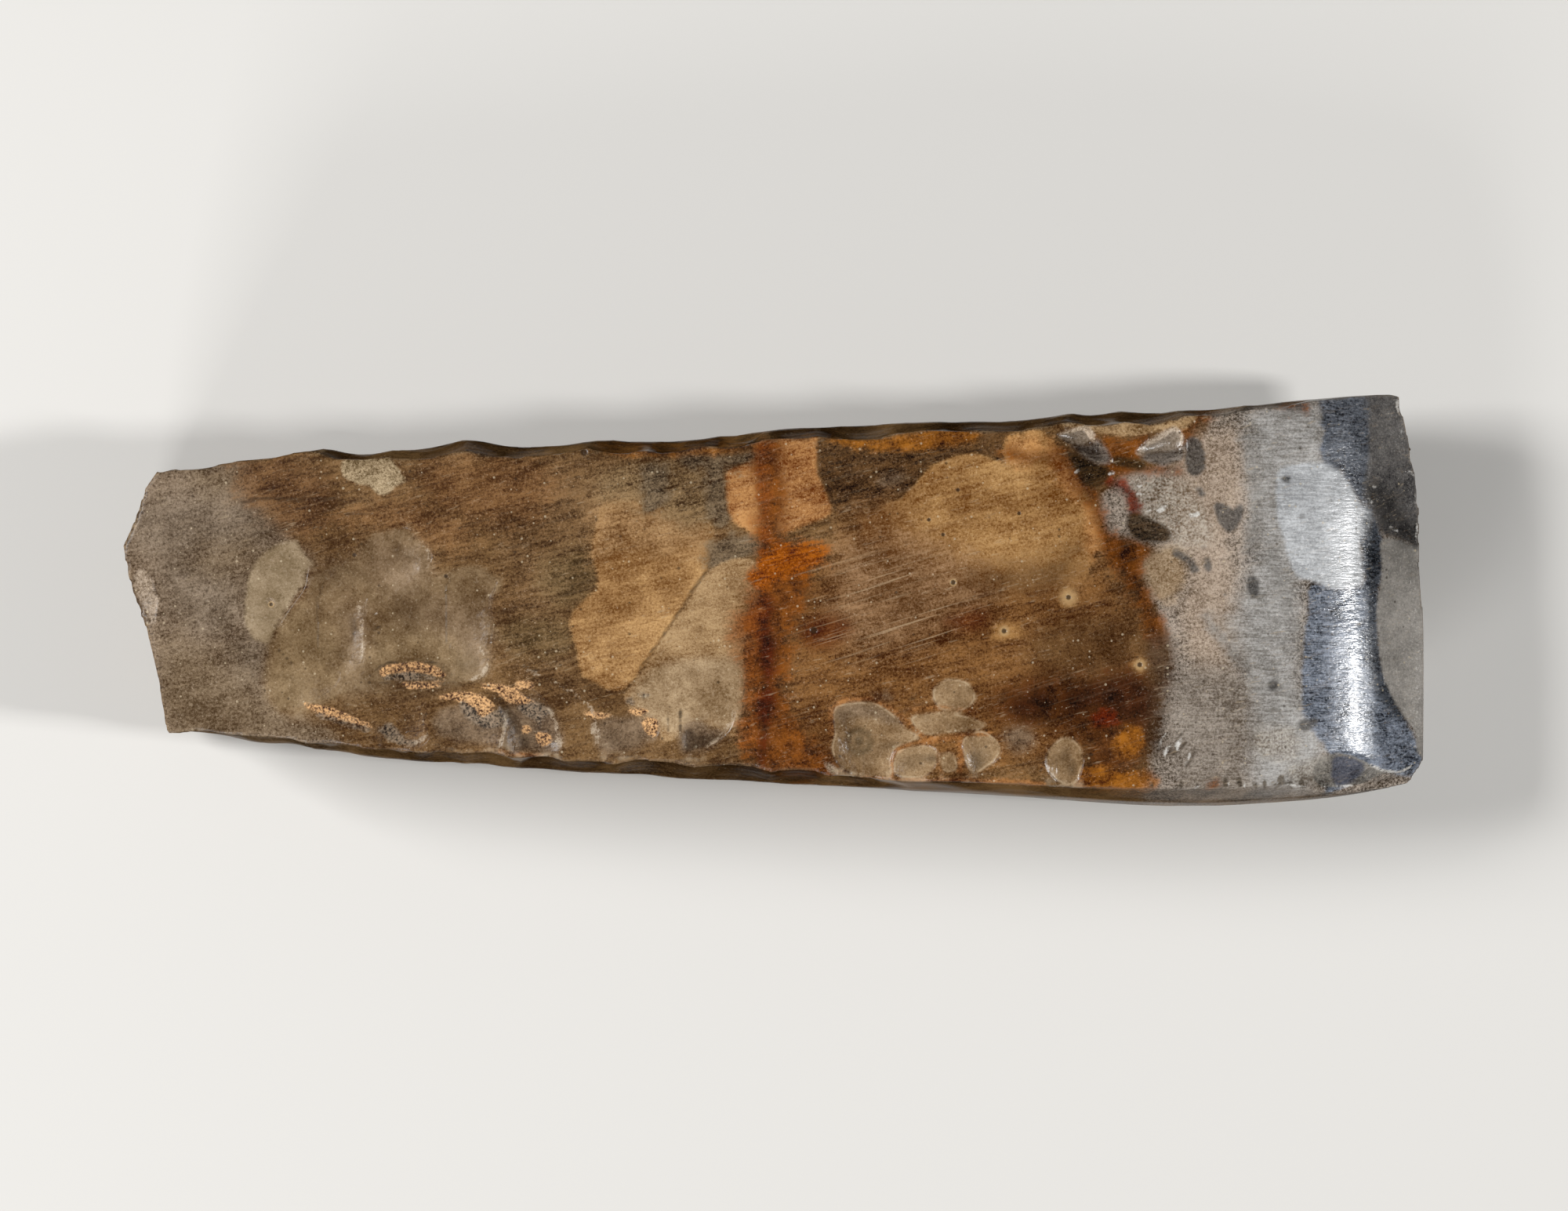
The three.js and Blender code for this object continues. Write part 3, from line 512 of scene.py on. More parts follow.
patch(
    "rust_deep", (16, 0, 0), (96, 32, 0), "vein", 8, 30, 0.9,
    [958, 770, 972, 752, 985, 770, 984, 800, 990, 830, 984, 860, 968, 850, 964, 820, 955, 800],
    [966, 885, 984, 878, 988, 905, 976, 930, 962, 910],
    (8, 974, 566, 971, 590, 974, 630, 972, 655, 977, 690, 970, 740, 973, 800, 979, 860, 976, 925,
     970, 975),
)
patch(
    "rust_bleed", (60, 10, 0), (158, 90, 30), "streak", 12, 40, 0.7,
    [930, 800, 945, 770, 962, 730, 975, 730, 970, 800, 962, 860, 960, 940, 945, 940, 950, 870,
     940, 830],
    [962, 566, 978, 560, 980, 680, 964, 680, 968, 620],
)
patch(
    "amber", (66, 4, 0), (176, 94, 0), "streak", 10, 34, 0.94,
    [955, 735, 965, 718, 978, 703, 990, 694, 1010, 690, 1035, 692, 1052, 701, 1056, 714, 1040, 725,
     1020, 731, 1000, 737, 985, 746, 968, 750],
)
patch(
    "rust_spot", (58, 6, 0), (110, 56, 6), "streak", 14, 20, 0.85,
    [1018, 806, 1032, 790, 1060, 785, 1085, 795, 1075, 818, 1045, 826, 1025, 820],
    [1205, 792, 1240, 778, 1262, 788, 1240, 806],
)
patch(
    "tan_halos", (120, 78, 34), (182, 138, 84), "ochre", 6, 10, 0.8,
    [1268, 800, 1282, 794, 1302, 800, 1296, 814, 1268, 816],
    [1352, 762, 1360, 752, 1374, 758, 1372, 772, 1358, 774],
    [1444, 846, 1454, 838, 1464, 848, 1454, 858],
)
patch(
    "right_grey", (50, 38, 24), (186, 172, 158), "matt", 7, 26, 1.0,
    [1404, 640, 1414, 622, 1440, 604, 1500, 594, 1528, 590, 1545, 540, 1560, 480, 1700, 470,
     1880, 460, 1880, 1060, 1700, 1070, 1478, 1060, 1470, 960, 1480, 905, 1492, 850, 1488, 805,
     1470, 768, 1456, 725, 1470, 702, 1450, 690, 1418, 682, 1406, 662],
)
patch(
    "pink_beige", (110, 90, 70), (192, 172, 152), "matt", 24, 36, 0.85,
    [1490, 600, 1540, 550, 1580, 560, 1590, 640, 1570, 700, 1590, 800, 1560, 860, 1520, 850,
     1500, 780, 1510, 720, 1490, 660],
)
patch(
    "cream_round", (112, 84, 52), (172, 146, 112), "matt", 10, 20, 0.8,
    [1455, 722, 1470, 702, 1495, 698, 1512, 715, 1510, 745, 1490, 768, 1470, 760],
)
patch(
    "mid_grey", (90, 78, 66), (164, 154, 142), "brushed", 22, 30, 0.75,
    [1500, 860, 1560, 850, 1620, 880, 1680, 960, 1660, 1020, 1520, 1020, 1490, 950],
    [1555, 790, 1590, 800, 1610, 860, 1600, 900, 1570, 850],
)
patch(
    "neutral_grey", (118, 114, 108), (188, 186, 183), "brushed", 22, 24, 0.9,
    [1600, 520, 1690, 520, 1690, 600, 1660, 740, 1660, 880, 1690, 960, 1650, 1010, 1600, 1000,
     1600, 880, 1575, 790, 1600, 700, 1595, 600],
)
patch(
    "grey_lines", (104, 100, 95), (160, 157, 152), "brushed", 9, 20, 0.7,
    (16, 1590, 560, 1598, 600, 1602, 650, 1596, 700),
    (10, 1538, 788, 1562, 820, 1588, 850, 1606, 880),
    (12, 1622, 700, 1630, 740, 1640, 770, 1652, 800), (10, 1600, 880, 1640, 880, 1680, 900),
)
patch(
    "pale_blue_grey", (146, 147, 148), (210, 212, 214), "brushed", 4, 6, 1.0,
    [1632, 600, 1652, 592, 1690, 590, 1710, 600, 1725, 620, 1735, 640, 1748, 650, 1750, 665,
     1745, 680, 1735, 690, 1738, 715, 1740, 740, 1730, 751, 1712, 752, 1690, 749, 1675, 742,
     1655, 735, 1645, 715, 1638, 690, 1630, 660, 1628, 625],
)
patch(
    "slate_band", (20, 24, 32), (148, 156, 170), "brushed", 4, 12, 1.0,
    [1690, 490, 1745, 490, 1748, 560, 1744, 600, 1738, 625, 1746, 645, 1757, 668, 1762, 690,
     1763, 720, 1758, 760, 1757, 800, 1762, 850, 1778, 890, 1798, 925, 1812, 955, 1830, 985,
     1790, 990, 1765, 985, 1745, 990, 1700, 1010, 1690, 1008, 1698, 970, 1680, 940, 1665, 915,
     1660, 880, 1662, 840, 1665, 800, 1669, 770, 1672, 743, 1690, 749, 1712, 752, 1730, 751,
     1740, 740, 1738, 715, 1735, 690, 1745, 680, 1750, 665, 1748, 650, 1735, 640, 1725, 620,
     1710, 600, 1694, 590, 1684, 575, 1690, 550, 1687, 525],
)
patch(
    "slate_dark", (4, 6, 10), (64, 68, 74), "brushed", 7, 16, 0.85,
    [1740, 655, 1757, 668, 1762, 690, 1763, 720, 1758, 760, 1757, 800, 1766, 850, 1784, 890,
     1800, 925, 1770, 905, 1748, 870, 1742, 810, 1744, 750, 1738, 700],
    [1736, 560, 1752, 560, 1752, 640, 1738, 625],
)
patch(
    "edge_grey", (112, 108, 102), (170, 164, 156), "smooth", 2.5, 4, 1.0,
    [1762, 690, 1785, 688, 1800, 695, 1850, 700, 1880, 760, 1880, 960, 1815, 968, 1805, 935,
     1790, 913, 1775, 888, 1763, 855, 1757, 800, 1757, 770, 1763, 730],
)
patch(
    "charcoal", (34, 32, 34), (124, 120, 116), "smooth", 5, 10, 1.0,
    [1742, 480, 1880, 470, 1880, 560, 1880, 680, 1815, 698, 1798, 691, 1780, 684, 1766, 682,
     1757, 667, 1750, 647, 1738, 630, 1743, 600, 1746, 560],
)
patch(
    "charcoal_deep", (0, 0, 0), (58, 54, 52), "smooth", 14, 16, 0.88,
    [1738, 628, 1760, 618, 1782, 640, 1802, 662, 1830, 690, 1790, 692, 1764, 674, 1752, 655],
)
patch(
    "slate_top", (12, 14, 20), (114, 118, 126), "brushed", 6, 12, 0.9,
    [1680, 505, 1700, 505, 1742, 505, 1744, 560, 1742, 600, 1738, 628, 1748, 655, 1738, 646,
     1724, 622, 1714, 602, 1700, 596, 1686, 588, 1690, 555],
)
patch(
    "gritty", (90, 68, 44), (192, 184, 170), "porous", 10, 16, 0.55,
    [1440, 612, 1500, 608, 1530, 640, 1545, 690, 1500, 692, 1450, 655],
    [1640, 985, 1655, 975, 1690, 965, 1700, 985, 1695, 1000, 1650, 998],
    [1605, 932, 1650, 930, 1655, 965, 1625, 970, 1600, 955],
)
patch(
    "rust_edge", (24, 0, 0), (132, 72, 10), "vein", 10, 34, 0.9,
    [1408, 690, 1420, 682, 1450, 692, 1470, 702, 1455, 725, 1470, 765, 1484, 795, 1482, 818,
     1462, 815, 1455, 780, 1435, 745, 1415, 715],
    [1400, 560, 1440, 560, 1462, 545, 1475, 556, 1456, 575, 1440, 600, 1418, 606, 1404, 580],
    (14, 1352, 578, 1366, 592, 1384, 620, 1400, 648, 1408, 680, 1420, 705),
    (13, 1510, 562, 1518, 545, 1532, 530, 1545, 520), (14, 1640, 517, 1662, 518),
    (9, 1547, 1000, 1553, 998), (9, 1285, 578, 1320, 588, 1350, 580, 1362, 590),
    (10, 1420, 604, 1450, 598, 1500, 600),
)
patch(
    "brown_shade", (28, 10, 0), (92, 70, 52), "brushed", 13, 30, 0.8,
    [1462, 820, 1490, 812, 1500, 850, 1488, 900, 1478, 960, 1462, 940, 1470, 890],
)
patch(
    "red_arc", (44, 0, 0), (128, 44, 4), "vein", 6, 20, 0.9,
    [1392, 916, 1408, 905, 1426, 912, 1424, 924, 1400, 926],
    (13, 1414, 616, 1430, 619, 1442, 630, 1448, 645, 1446, 652),
)
patch(
    "orange_glow", (60, 14, 0), (176, 110, 30), "vein", 7, 20, 0.8,
    [1424, 940, 1440, 928, 1458, 936, 1454, 958, 1436, 966, 1422, 956],
    [1372, 1000, 1376, 985, 1400, 980, 1440, 985, 1472, 985, 1474, 1006, 1420, 1010],
    [1060, 556, 1130, 560, 1170, 552, 1240, 545, 1240, 562, 1150, 575, 1080, 568],
    [770, 560, 860, 566, 930, 558, 962, 566, 930, 577, 850, 580, 780, 580],
)
patch(
    "slate_spots", (0, 0, 0), (98, 94, 90), "smooth", 3, 8, 0.85,
    [1548, 645, 1555, 640, 1565, 645, 1573, 649, 1582, 642, 1588, 650, 1583, 662, 1575, 676,
     1567, 680, 1556, 668],
    [1514, 562, 1528, 560, 1538, 588, 1531, 606, 1518, 606, 1512, 590],
    [1592, 735, 1604, 738, 1606, 758, 1596, 762, 1590, 748],
    [1634, 608, 1645, 607, 1648, 615, 1640, 617], [1619, 868, 1629, 870, 1629, 880, 1620, 880],
    [1537, 712, 1544, 714, 1544, 728, 1538, 728], [1656, 922, 1678, 915, 1680, 925, 1662, 932],
    (10, 1500, 706, 1518, 716, 1523, 727), (8, 1530, 626, 1533, 630), (6, 1660, 659, 1662, 659),
    (4, 1697, 640, 1698, 640), (3, 1480, 618, 1480, 619), (3, 1535, 699, 1536, 700),
    (5, 1611, 758, 1612, 759), (4, 1560, 756, 1562, 757),
)
patch(
    "dark_wedge", (0, 0, 0), (74, 52, 24), "streak", 4, 8, 0.94,
    [1440, 655, 1460, 658, 1480, 668, 1493, 680, 1490, 690, 1475, 692, 1455, 690, 1440, 680],
    [1362, 578, 1372, 600, 1382, 618, 1404, 620, 1415, 600, 1400, 592, 1380, 582],
    (12, 1424, 588, 1456, 594),
)
mark(
    "cream_strip", (100, 70, 36), (190, 158, 116), "streak", 3, 10, 0.9,
    [1354, 542, 1372, 535, 1390, 536, 1408, 543, 1428, 541, 1450, 536, 1466, 541, 1490, 540,
     1520, 527, 1530, 524, 1516, 545, 1500, 546, 1476, 552, 1440, 556, 1410, 552, 1390, 548,
     1370, 545],
)
mark(
    "cream_patch", (86, 66, 34), (190, 168, 134), "matt", 2.5, 7, 1.0,
    [437, 590, 450, 583, 465, 581, 480, 585, 495, 583, 505, 592, 510, 600, 513, 607, 519, 613,
     510, 618, 501, 622, 497, 628, 489, 632, 480, 628, 470, 620, 455, 616, 445, 612, 437, 605],
)
mark(
    "cream_flakes", (104, 76, 44), (180, 152, 116), "smooth", 3, 7, 0.95,
    [1065, 902, 1080, 897, 1105, 895, 1120, 898, 1140, 912, 1155, 928, 1174, 941, 1146, 952,
     1138, 962, 1136, 975, 1138, 990, 1125, 995, 1100, 992, 1075, 980, 1063, 965, 1061, 950,
     1065, 935, 1063, 915],
    [1141, 963, 1152, 955, 1178, 950, 1194, 957, 1196, 970, 1188, 984, 1174, 992, 1152, 992,
     1141, 986],
    [1200, 962, 1214, 960, 1220, 970, 1220, 983, 1206, 985, 1200, 975],
    [1162, 917, 1175, 911, 1208, 909, 1240, 916, 1258, 925, 1240, 932, 1200, 936, 1175, 936],
    [1229, 942, 1250, 932, 1268, 941, 1276, 955, 1269, 970, 1255, 981, 1241, 988, 1233, 975,
     1228, 955],
    [1360, 940, 1374, 948, 1382, 965, 1378, 985, 1371, 1000, 1358, 1001, 1343, 991, 1334, 975,
     1338, 956, 1350, 944],
    [1190, 880, 1210, 866, 1236, 872, 1244, 892, 1225, 908, 1198, 904],
)
mark(
    "grey_flakes", (52, 34, 18), (150, 128, 104), "smooth", 9, 20, 0.75,
    [758, 920, 780, 915, 815, 914, 836, 920, 838, 936, 800, 958, 768, 958, 760, 940],
    [870, 925, 893, 918, 905, 928, 926, 934, 905, 948, 888, 960, 872, 960, 868, 948],
    [1280, 934, 1300, 928, 1321, 938, 1318, 950, 1300, 961, 1290, 958, 1283, 946],
    [1115, 887, 1135, 886, 1136, 892, 1117, 893],
    [1120, 618, 1130, 608, 1150, 605, 1149, 612, 1136, 618],
    [645, 905, 680, 890, 704, 905, 714, 930, 714, 952, 700, 960, 662, 958, 640, 950, 646, 930],
    [570, 905, 600, 898, 630, 905, 641, 925, 636, 945, 600, 948, 565, 940, 552, 920],
    [1065, 902, 1105, 896, 1135, 910, 1150, 926, 1100, 914, 1072, 925],
)
mark(
    "ring_eye", (30, 16, 2), (108, 90, 62), "smooth", 5, 6, 0.75,
    [1090, 940, 1100, 940, 1102, 950, 1092, 952],
    (7, 1095, 931, 1107, 936, 1111, 946, 1106, 957, 1094, 961, 1084, 955, 1081, 944, 1086, 934,
     1095, 931),
)
mark(
    "rust_lines", (66, 18, 0), (186, 128, 72), "vein", 3, 8, 0.85,
    (5, 1060, 935, 1060, 905, 1078, 893, 1110, 891, 1140, 905, 1160, 925, 1180, 942, 1200, 944,
     1226, 938, 1262, 936),
    (4, 1139, 990, 1137, 972, 1142, 958, 1160, 950, 1190, 947),
    (6, 1224, 985, 1226, 965, 1224, 942), (3, 1196, 962, 1199, 985),
    (7, 1100, 993, 1160, 997, 1240, 996, 1330, 1000), (4, 1160, 905, 1200, 902, 1245, 908),
    (5, 636, 957, 650, 962, 690, 965),
)
mark(
    "cortex", (60, 24, 0), (232, 182, 126), "porous", 1.6, 6, 1.0,
    [483, 858, 490, 850, 510, 846, 531, 845, 555, 850, 571, 861, 565, 866, 545, 860, 520, 858,
     500, 860, 488, 864],
    [388, 898, 420, 902, 450, 914, 470, 922, 474, 929, 462, 926, 440, 921, 405, 910],
    [560, 890, 575, 884, 600, 883, 625, 893, 632, 902, 624, 910, 612, 916, 604, 905, 588, 896,
     570, 893],
    [612, 872, 640, 873, 672, 890, 682, 897, 664, 899, 646, 896, 634, 884, 618, 878],
    [655, 873, 668, 868, 682, 872, 678, 878, 662, 879],
    [512, 870, 548, 870, 566, 874, 548, 878, 518, 878], [664, 928, 674, 926, 678, 933, 668, 936],
    [684, 936, 696, 934, 704, 944, 696, 952, 686, 948], [800, 906, 820, 903, 828, 908, 812, 913],
    [820, 918, 838, 917, 838, 937, 824, 936], [745, 908, 780, 912, 760, 918],
)
mark(
    "dark_specks", (14, 14, 16), (158, 138, 116), "porous", 3, 14, 0.9,
    [490, 862, 520, 858, 548, 861, 560, 866, 520, 869, 494, 868],
    [480, 930, 500, 925, 518, 944, 534, 946, 520, 952, 498, 944],
    [588, 896, 606, 903, 616, 916, 640, 905, 642, 925, 618, 930, 596, 918],
    [662, 899, 690, 897, 702, 908, 690, 918, 668, 912], [818, 885, 828, 885, 830, 891, 820, 893],
    [400, 908, 440, 920, 470, 928, 462, 932, 425, 922], [798, 893, 808, 893, 808, 899, 800, 900],
    [684, 912, 690, 912, 690, 928, 685, 928],
)
mark(
    "dark_lines", (26, 16, 8), (62, 44, 26), "matt", 2, 8, 0.8,
    (3, 302, 643, 325, 637, 345, 636, 380, 638, 420, 636, 448, 640),
    (2, 440, 656, 480, 654, 518, 653), (2.5, 262, 750, 268, 761),
    (2.5, 356, 830, 366, 840, 373, 848), (3, 312, 772, 313, 778), (2, 472, 796, 486, 800),
    (2, 468, 803, 480, 803), (2.5, 868, 905, 866, 925, 872, 945), (2, 850, 905, 853, 920, 852, 932),
    (2, 668, 850, 700, 862, 720, 880, 740, 895), (2, 470, 872, 520, 871, 590, 874, 625, 872),
    (2, 1158, 893, 1172, 888), (2.5, 905, 722, 884, 752, 862, 786, 840, 818, 815, 856),
    (2.5, 1509, 934, 1500, 946), (3, 1512, 948, 1498, 964), (2, 1495, 955, 1487, 963),
    (3, 1526, 956, 1520, 968, 1513, 977), (2, 478, 857, 492, 846, 531, 841, 562, 848, 578, 862),
)
# Pale chips, and among them some painted glints: small pale spots that stand for highlights.
mark(
    "pale_chips", (112, 94, 72), (206, 188, 168), "matt", 3, 6, 0.95,
    [176, 727, 187, 731, 194, 741, 197, 753, 201, 765, 199, 780, 196, 796, 190, 788, 180, 768,
     172, 745],
    [1350, 555, 1374, 545, 1386, 543, 1396, 555, 1386, 568, 1366, 566],
    [1450, 577, 1465, 562, 1490, 548, 1500, 545, 1510, 560, 1500, 574, 1478, 576, 1460, 580],
    [340, 766, 346, 762, 350, 768, 346, 773], [1781, 512, 1787, 515, 1789, 526, 1784, 528],
    [1052, 972, 1064, 978, 1068, 988, 1058, 984],
)
mark(
    "slate_chips", (10, 4, 0), (140, 132, 124), "brushed", 4, 8, 0.85,
    [1366, 568, 1388, 568, 1398, 560, 1410, 572, 1417, 588, 1400, 592, 1382, 582],
    [1456, 582, 1478, 577, 1500, 575, 1511, 566, 1512, 578, 1504, 588, 1486, 594, 1466, 590],
)
mark(
    "corner_chip", (40, 36, 34), (166, 160, 150), "smooth", 2, 5, 0.95,
    [1680, 971, 1690, 964, 1706, 961, 1720, 963, 1738, 970, 1756, 980, 1770, 985, 1750, 993,
     1735, 1000, 1700, 1004, 1682, 1002, 1674, 986],
)
mark(
    "corner_slate", (34, 36, 46), (104, 108, 122), "smooth", 3, 8, 0.9,
    [1700, 966, 1724, 967, 1740, 976, 1734, 990, 1718, 1001, 1702, 1000],
)
mark(
    "nicks", (26, 18, 10), (100, 88, 72), "matt", 1.5, 5, 0.85,
    *((width, across, down - 3, across + 1, down + 3) for across, down, width in NICKS),
)
# White crushed nicks and hackles, plus painted glints and a painted highlight on a chip's rim.
mark(
    "white_nicks", (176, 170, 160), (236, 234, 230), "matt", 1.3, 4, 0.85,
    (3, 1788, 548, 1789, 555), (3, 1799, 602, 1804, 606), (3, 1806, 632, 1807, 642),
    (4, 1808, 668, 1808, 676), (4, 1807, 684, 1808, 690), (2.5, 1773, 672, 1783, 678),
    (3, 1751, 620, 1755, 622), (2, 1745, 636, 1750, 641), (2.5, 1736, 694, 1740, 697),
    (5, 1782, 512, 1784, 524), (3, 1566, 997, 1569, 1004), (2.5, 1586, 998, 1588, 1004),
    (2, 1524, 1006, 1530, 1002), (3, 1640, 999, 1650, 1003), (2, 1655, 1003, 1668, 1004),
    (2.5, 1700, 1005, 1725, 1002), (3, 1748, 976, 1766, 984, 1786, 985, 1800, 978),
    (6, 1478, 652, 1485, 647), (5, 1518, 658, 1528, 656), (3, 1448, 622, 1456, 620),
    (3, 1450, 630, 1466, 634), (3, 1462, 654, 1468, 651), (4, 1415, 604, 1420, 603),
    (2.5, 1488, 934, 1480, 946, 1478, 956), (2.5, 1490, 952, 1484, 966),
    (4, 1506, 944, 1500, 950, 1503, 956), (2.5, 1519, 958, 1515, 970, 1512, 976),
    (2.5, 1372, 603, 1377, 598), (3, 1402, 540, 1408, 541), (2.5, 1452, 537, 1458, 538),
    (2, 478, 783, 484, 781), (3, 622, 816, 626, 820),
)
# Painted highlights: pale strokes along the scar walls that face the light from the left.
mark(
    "bright_rims", (150, 130, 104), (220, 204, 182), "matt", 1.5, 9, 0.55,
    (3, 457, 772, 462, 788, 461, 805, 463, 822, 461, 838), (4, 541, 698, 547, 706, 547, 715),
    (3, 612, 826, 620, 840, 621, 853, 614, 862, 600, 868), (3, 540, 912, 542, 926, 545, 940),
    (3.5, 646, 905, 645, 922, 641, 938, 637, 952), (4, 700, 905, 708, 920, 712, 936, 714, 955),
    (2.5, 936, 905, 931, 926, 918, 940, 900, 954), (3, 624, 810, 626, 818),
    (2, 757, 918, 756, 936, 762, 948), (3, 1366, 552, 1380, 547), (3, 540, 943, 530, 949),
    (2.5, 671, 855, 702, 868, 735, 885, 756, 906, 764, 940),
)

# The rims that flake scars of the upper face end in: the wall's height in millimetres, the scar's
# breadth in pixels, then a row of places along the scar's far wall, with the scar on its left hand.
RIMS = [
    (0.2, 60, 470, 760, 465, 775, 466, 800, 464, 820, 464, 838, 456, 856),
    (0.1, 60, 500, 674, 520, 674, 535, 688, 549, 703, 550, 716, 540, 730),
    (0.22, 80, 636, 738, 628, 760, 626, 780, 629, 800, 625, 822, 625, 842, 622, 858, 606, 870,
               580, 874),
    (0.12, 45, 536, 900, 541, 914, 544, 930, 547, 943, 538, 952),
    (0.16, 60, 636, 892, 648, 905, 647, 922, 643, 938, 639, 955),
    (0.24, 60, 668, 872, 692, 890, 706, 912, 714, 935, 717, 958),
    (0.1, 60, 424, 846, 434, 860, 428, 874, 410, 888, 390, 898),
    (0.1, 40, 935, 895, 938, 910, 932, 930, 918, 944, 895, 962),
    (0.05, 40, 396, 716, 392, 735, 388, 752, 368, 780, 352, 806),
    (0.14, 40, 1392, 548, 1408, 566, 1420, 588, 1404, 596),
    (0.14, 40, 1500, 545, 1513, 560, 1513, 578, 1502, 590),
    (0.06, 30, 1276, 940, 1279, 956, 1270, 972, 1252, 986),
    (0.06, 30, 1200, 955, 1199, 972, 1190, 986),
    (0.06, 30, 1384, 955, 1382, 976, 1374, 1000),
    (0.06, 40, 1150, 930, 1172, 942, 1148, 953, 1139, 966, 1139, 990),
    (0.08, 30, 838, 914, 842, 930, 834, 946),
]

# A rim's wall fades out over RIM_FADE pixels at its ends, and is twice RIM_SLOPE wide. The mesh
# takes this share of its height, and the fine relief adds to it.
RIM_FADE, RIM_SLOPE, RIM_MESH_SHARE = 14, 2, 0.28

# Round marks of the upper face: place, radius and the width of the pale ring around it, in pixels.
PITS = [
    (1363, 762, 4, 12), (1281, 805, 4, 5), (1454, 848, 4, 6), (1222, 625, 3, 0), (1185, 663, 3, 0),
    (1203, 682, 3, 0), (1300, 655, 3, 0), (346, 771, 3, 2), (745, 577, 6, 0), (1216, 743, 4, 2),
    (569, 735, 3, 0), (452, 708, 3, 0), (1038, 804, 6, 0),
]


def rim_profile(where, upper):
    """How deep the scar behind each rim is at each place, and how far into it the place is."""
    drop, height = np.zeros(len(where)), np.zeros(len(where))
    inward = np.full(len(where), -float(FAR_PX))
    for wall, breadth, *row in RIMS:
        points = rounded_line(as_places(row))
        near = near_to(where, points, breadth) & upper
        gap, side, along, total = line_place(where[near], points)
        fade = ramp(along, 0, RIM_FADE) * ramp(total - along, 0, RIM_FADE)
        into = gap * side
        depth = fade * ramp(into, -RIM_SLOPE, RIM_SLOPE) * (1 - ramp(into, RIM_SLOPE, breadth))
        drop[near] = np.maximum(drop[near], RIM_MESH_SHARE * wall * depth)
        own = fade * wall
        chosen = (own > height[near]) & (gap < FAR_PX)
        index = np.flatnonzero(near)[chosen]
        inward[index], height[index] = into[chosen], own[chosen]
    return drop, inward, height


def arris(farthest, run, height, steep):
    """The height of a wall's upper or lower arris beside each place, evened out along the wall."""
    bins = np.round(run / WALL_STEP).astype(int)
    bins -= bins.min()
    edge = np.full(bins.max() + 1, MIDDLE_Z)
    farthest.at(edge, bins[steep], height[steep])
    middles = run.min() + WALL_STEP * np.arange(len(edge))
    padded = np.pad(edge, WALL_EVEN // 2, "edge")
    return np.interp(run, middles, np.convolve(padded, np.ones(WALL_EVEN) / WALL_EVEN, "valid"))


def flake_scars(vertices, normals, faces):
    """Scars struck off the narrow sides and the butt: depth, way from the blow and a tone each.

    Each row runs along one wall. A scar starts from the wall's upper or lower arris and is a
    shallow bowl. The deepest bowl wins at each place, so neighbours meet in a sharp ridge.
    """
    count = len(vertices)
    depth, way, tone = np.zeros(count), np.zeros(count), np.full(count, 0.5)
    east, north, up_tilt = (evened(normals[:, i], faces, WALL_ROUNDS) for i in range(3))
    steep = 1 - ramp(np.abs(up_tilt), *WALL_TILTS)
    rows = (
        (steep * ramp(north, *SIDE_WALL_TILTS), 0, *BACK_SCARS),
        (steep * ramp(-north, *SIDE_WALL_TILTS), 0, *FRONT_SCARS),
        (steep * ramp(-east, *BUTT_WALL_TILTS), 1, *BUTT_SCARS),
    )
    chance = np.random.default_rng(SCAR_SEED)
    for wall, axis, start, end in rows:
        index = np.flatnonzero(wall > 0)
        share = wall[index]
        run, height = vertices[index, axis], vertices[index, 2]
        top, foot = (
            arris(farthest, run, height, share > 0.5) for farthest in (np.maximum, np.minimum)
        )
        up = (height - foot) / np.maximum(top - foot, WALL_STEP)
        share = share * (
            MIDLINE_SHARE + (1 - MIDLINE_SHARE) * ramp(np.abs(up - 0.5), *MIDLINE_BAND)
        )
        for blow, rise in ((top, 1 - up), (foot, up)):
            place = start
            while place < end:
                width, reach = chance.uniform(*SCAR_WIDTH), chance.uniform(*SCAR_REACH)
                deep, own_tone = chance.uniform(*SCAR_DEPTH), chance.uniform(0, 1)
                down = rise / reach
                lean = chance.uniform(-SCAR_LEAN, SCAR_LEAN) * width
                off = (run - place - lean * down) / (width / 2)
                down = np.clip(down, 0, 1)
                spread = SCAR_NARROW + SCAR_SWELL * np.sin(math.pi * down)
                lengthwise = share * np.sin(math.pi * down**SCAR_START_POWER)
                bowl = deep * (lengthwise * np.maximum(1 - (off / spread) ** 2, 0))
                deeper = bowl > depth[index]
                chosen = index[deeper]
                depth[chosen] = bowl[deeper]
                way[chosen] = (np.hypot(run - place, height - blow) / MM)[deeper]
                tone[chosen] = own_tone
                place += width * chance.uniform(*SCAR_SPACING)
    return depth, way, tone


def zone_distances(where, deep_where, upper):
    """The distance into every patch, for each vertex."""
    result = {}
    for name, zone in PATCHES.items():
        if zone["on_top"]:
            result[name] = np.where(upper, patch_distance(where, zone["rows"]), -float(FAR_PX))
        else:
            result[name] = patch_distance(deep_where, zone["rows"])
    return result


def through_the_stone(where, points):
    """Where each vertex lies in the bands that run through the stone: they drift with the depth."""
    depth = np.clip((MIDDLE_Z - points[:, 2]) / MIDDLE_Z, 0, 1)
    sway = SWAY_ACROSS * np.sin(where[:, 1] / SWAY_ACROSS_LENGTH)
    across = where[:, 0] + depth * (DRIFT_ACROSS + sway)
    sway = np.sin(where[:, 0] / SWAY_DOWN_LENGTH + SWAY_DOWN_START)
    return np.stack([across, where[:, 1] + depth * SWAY_DOWN * sway], axis=1)


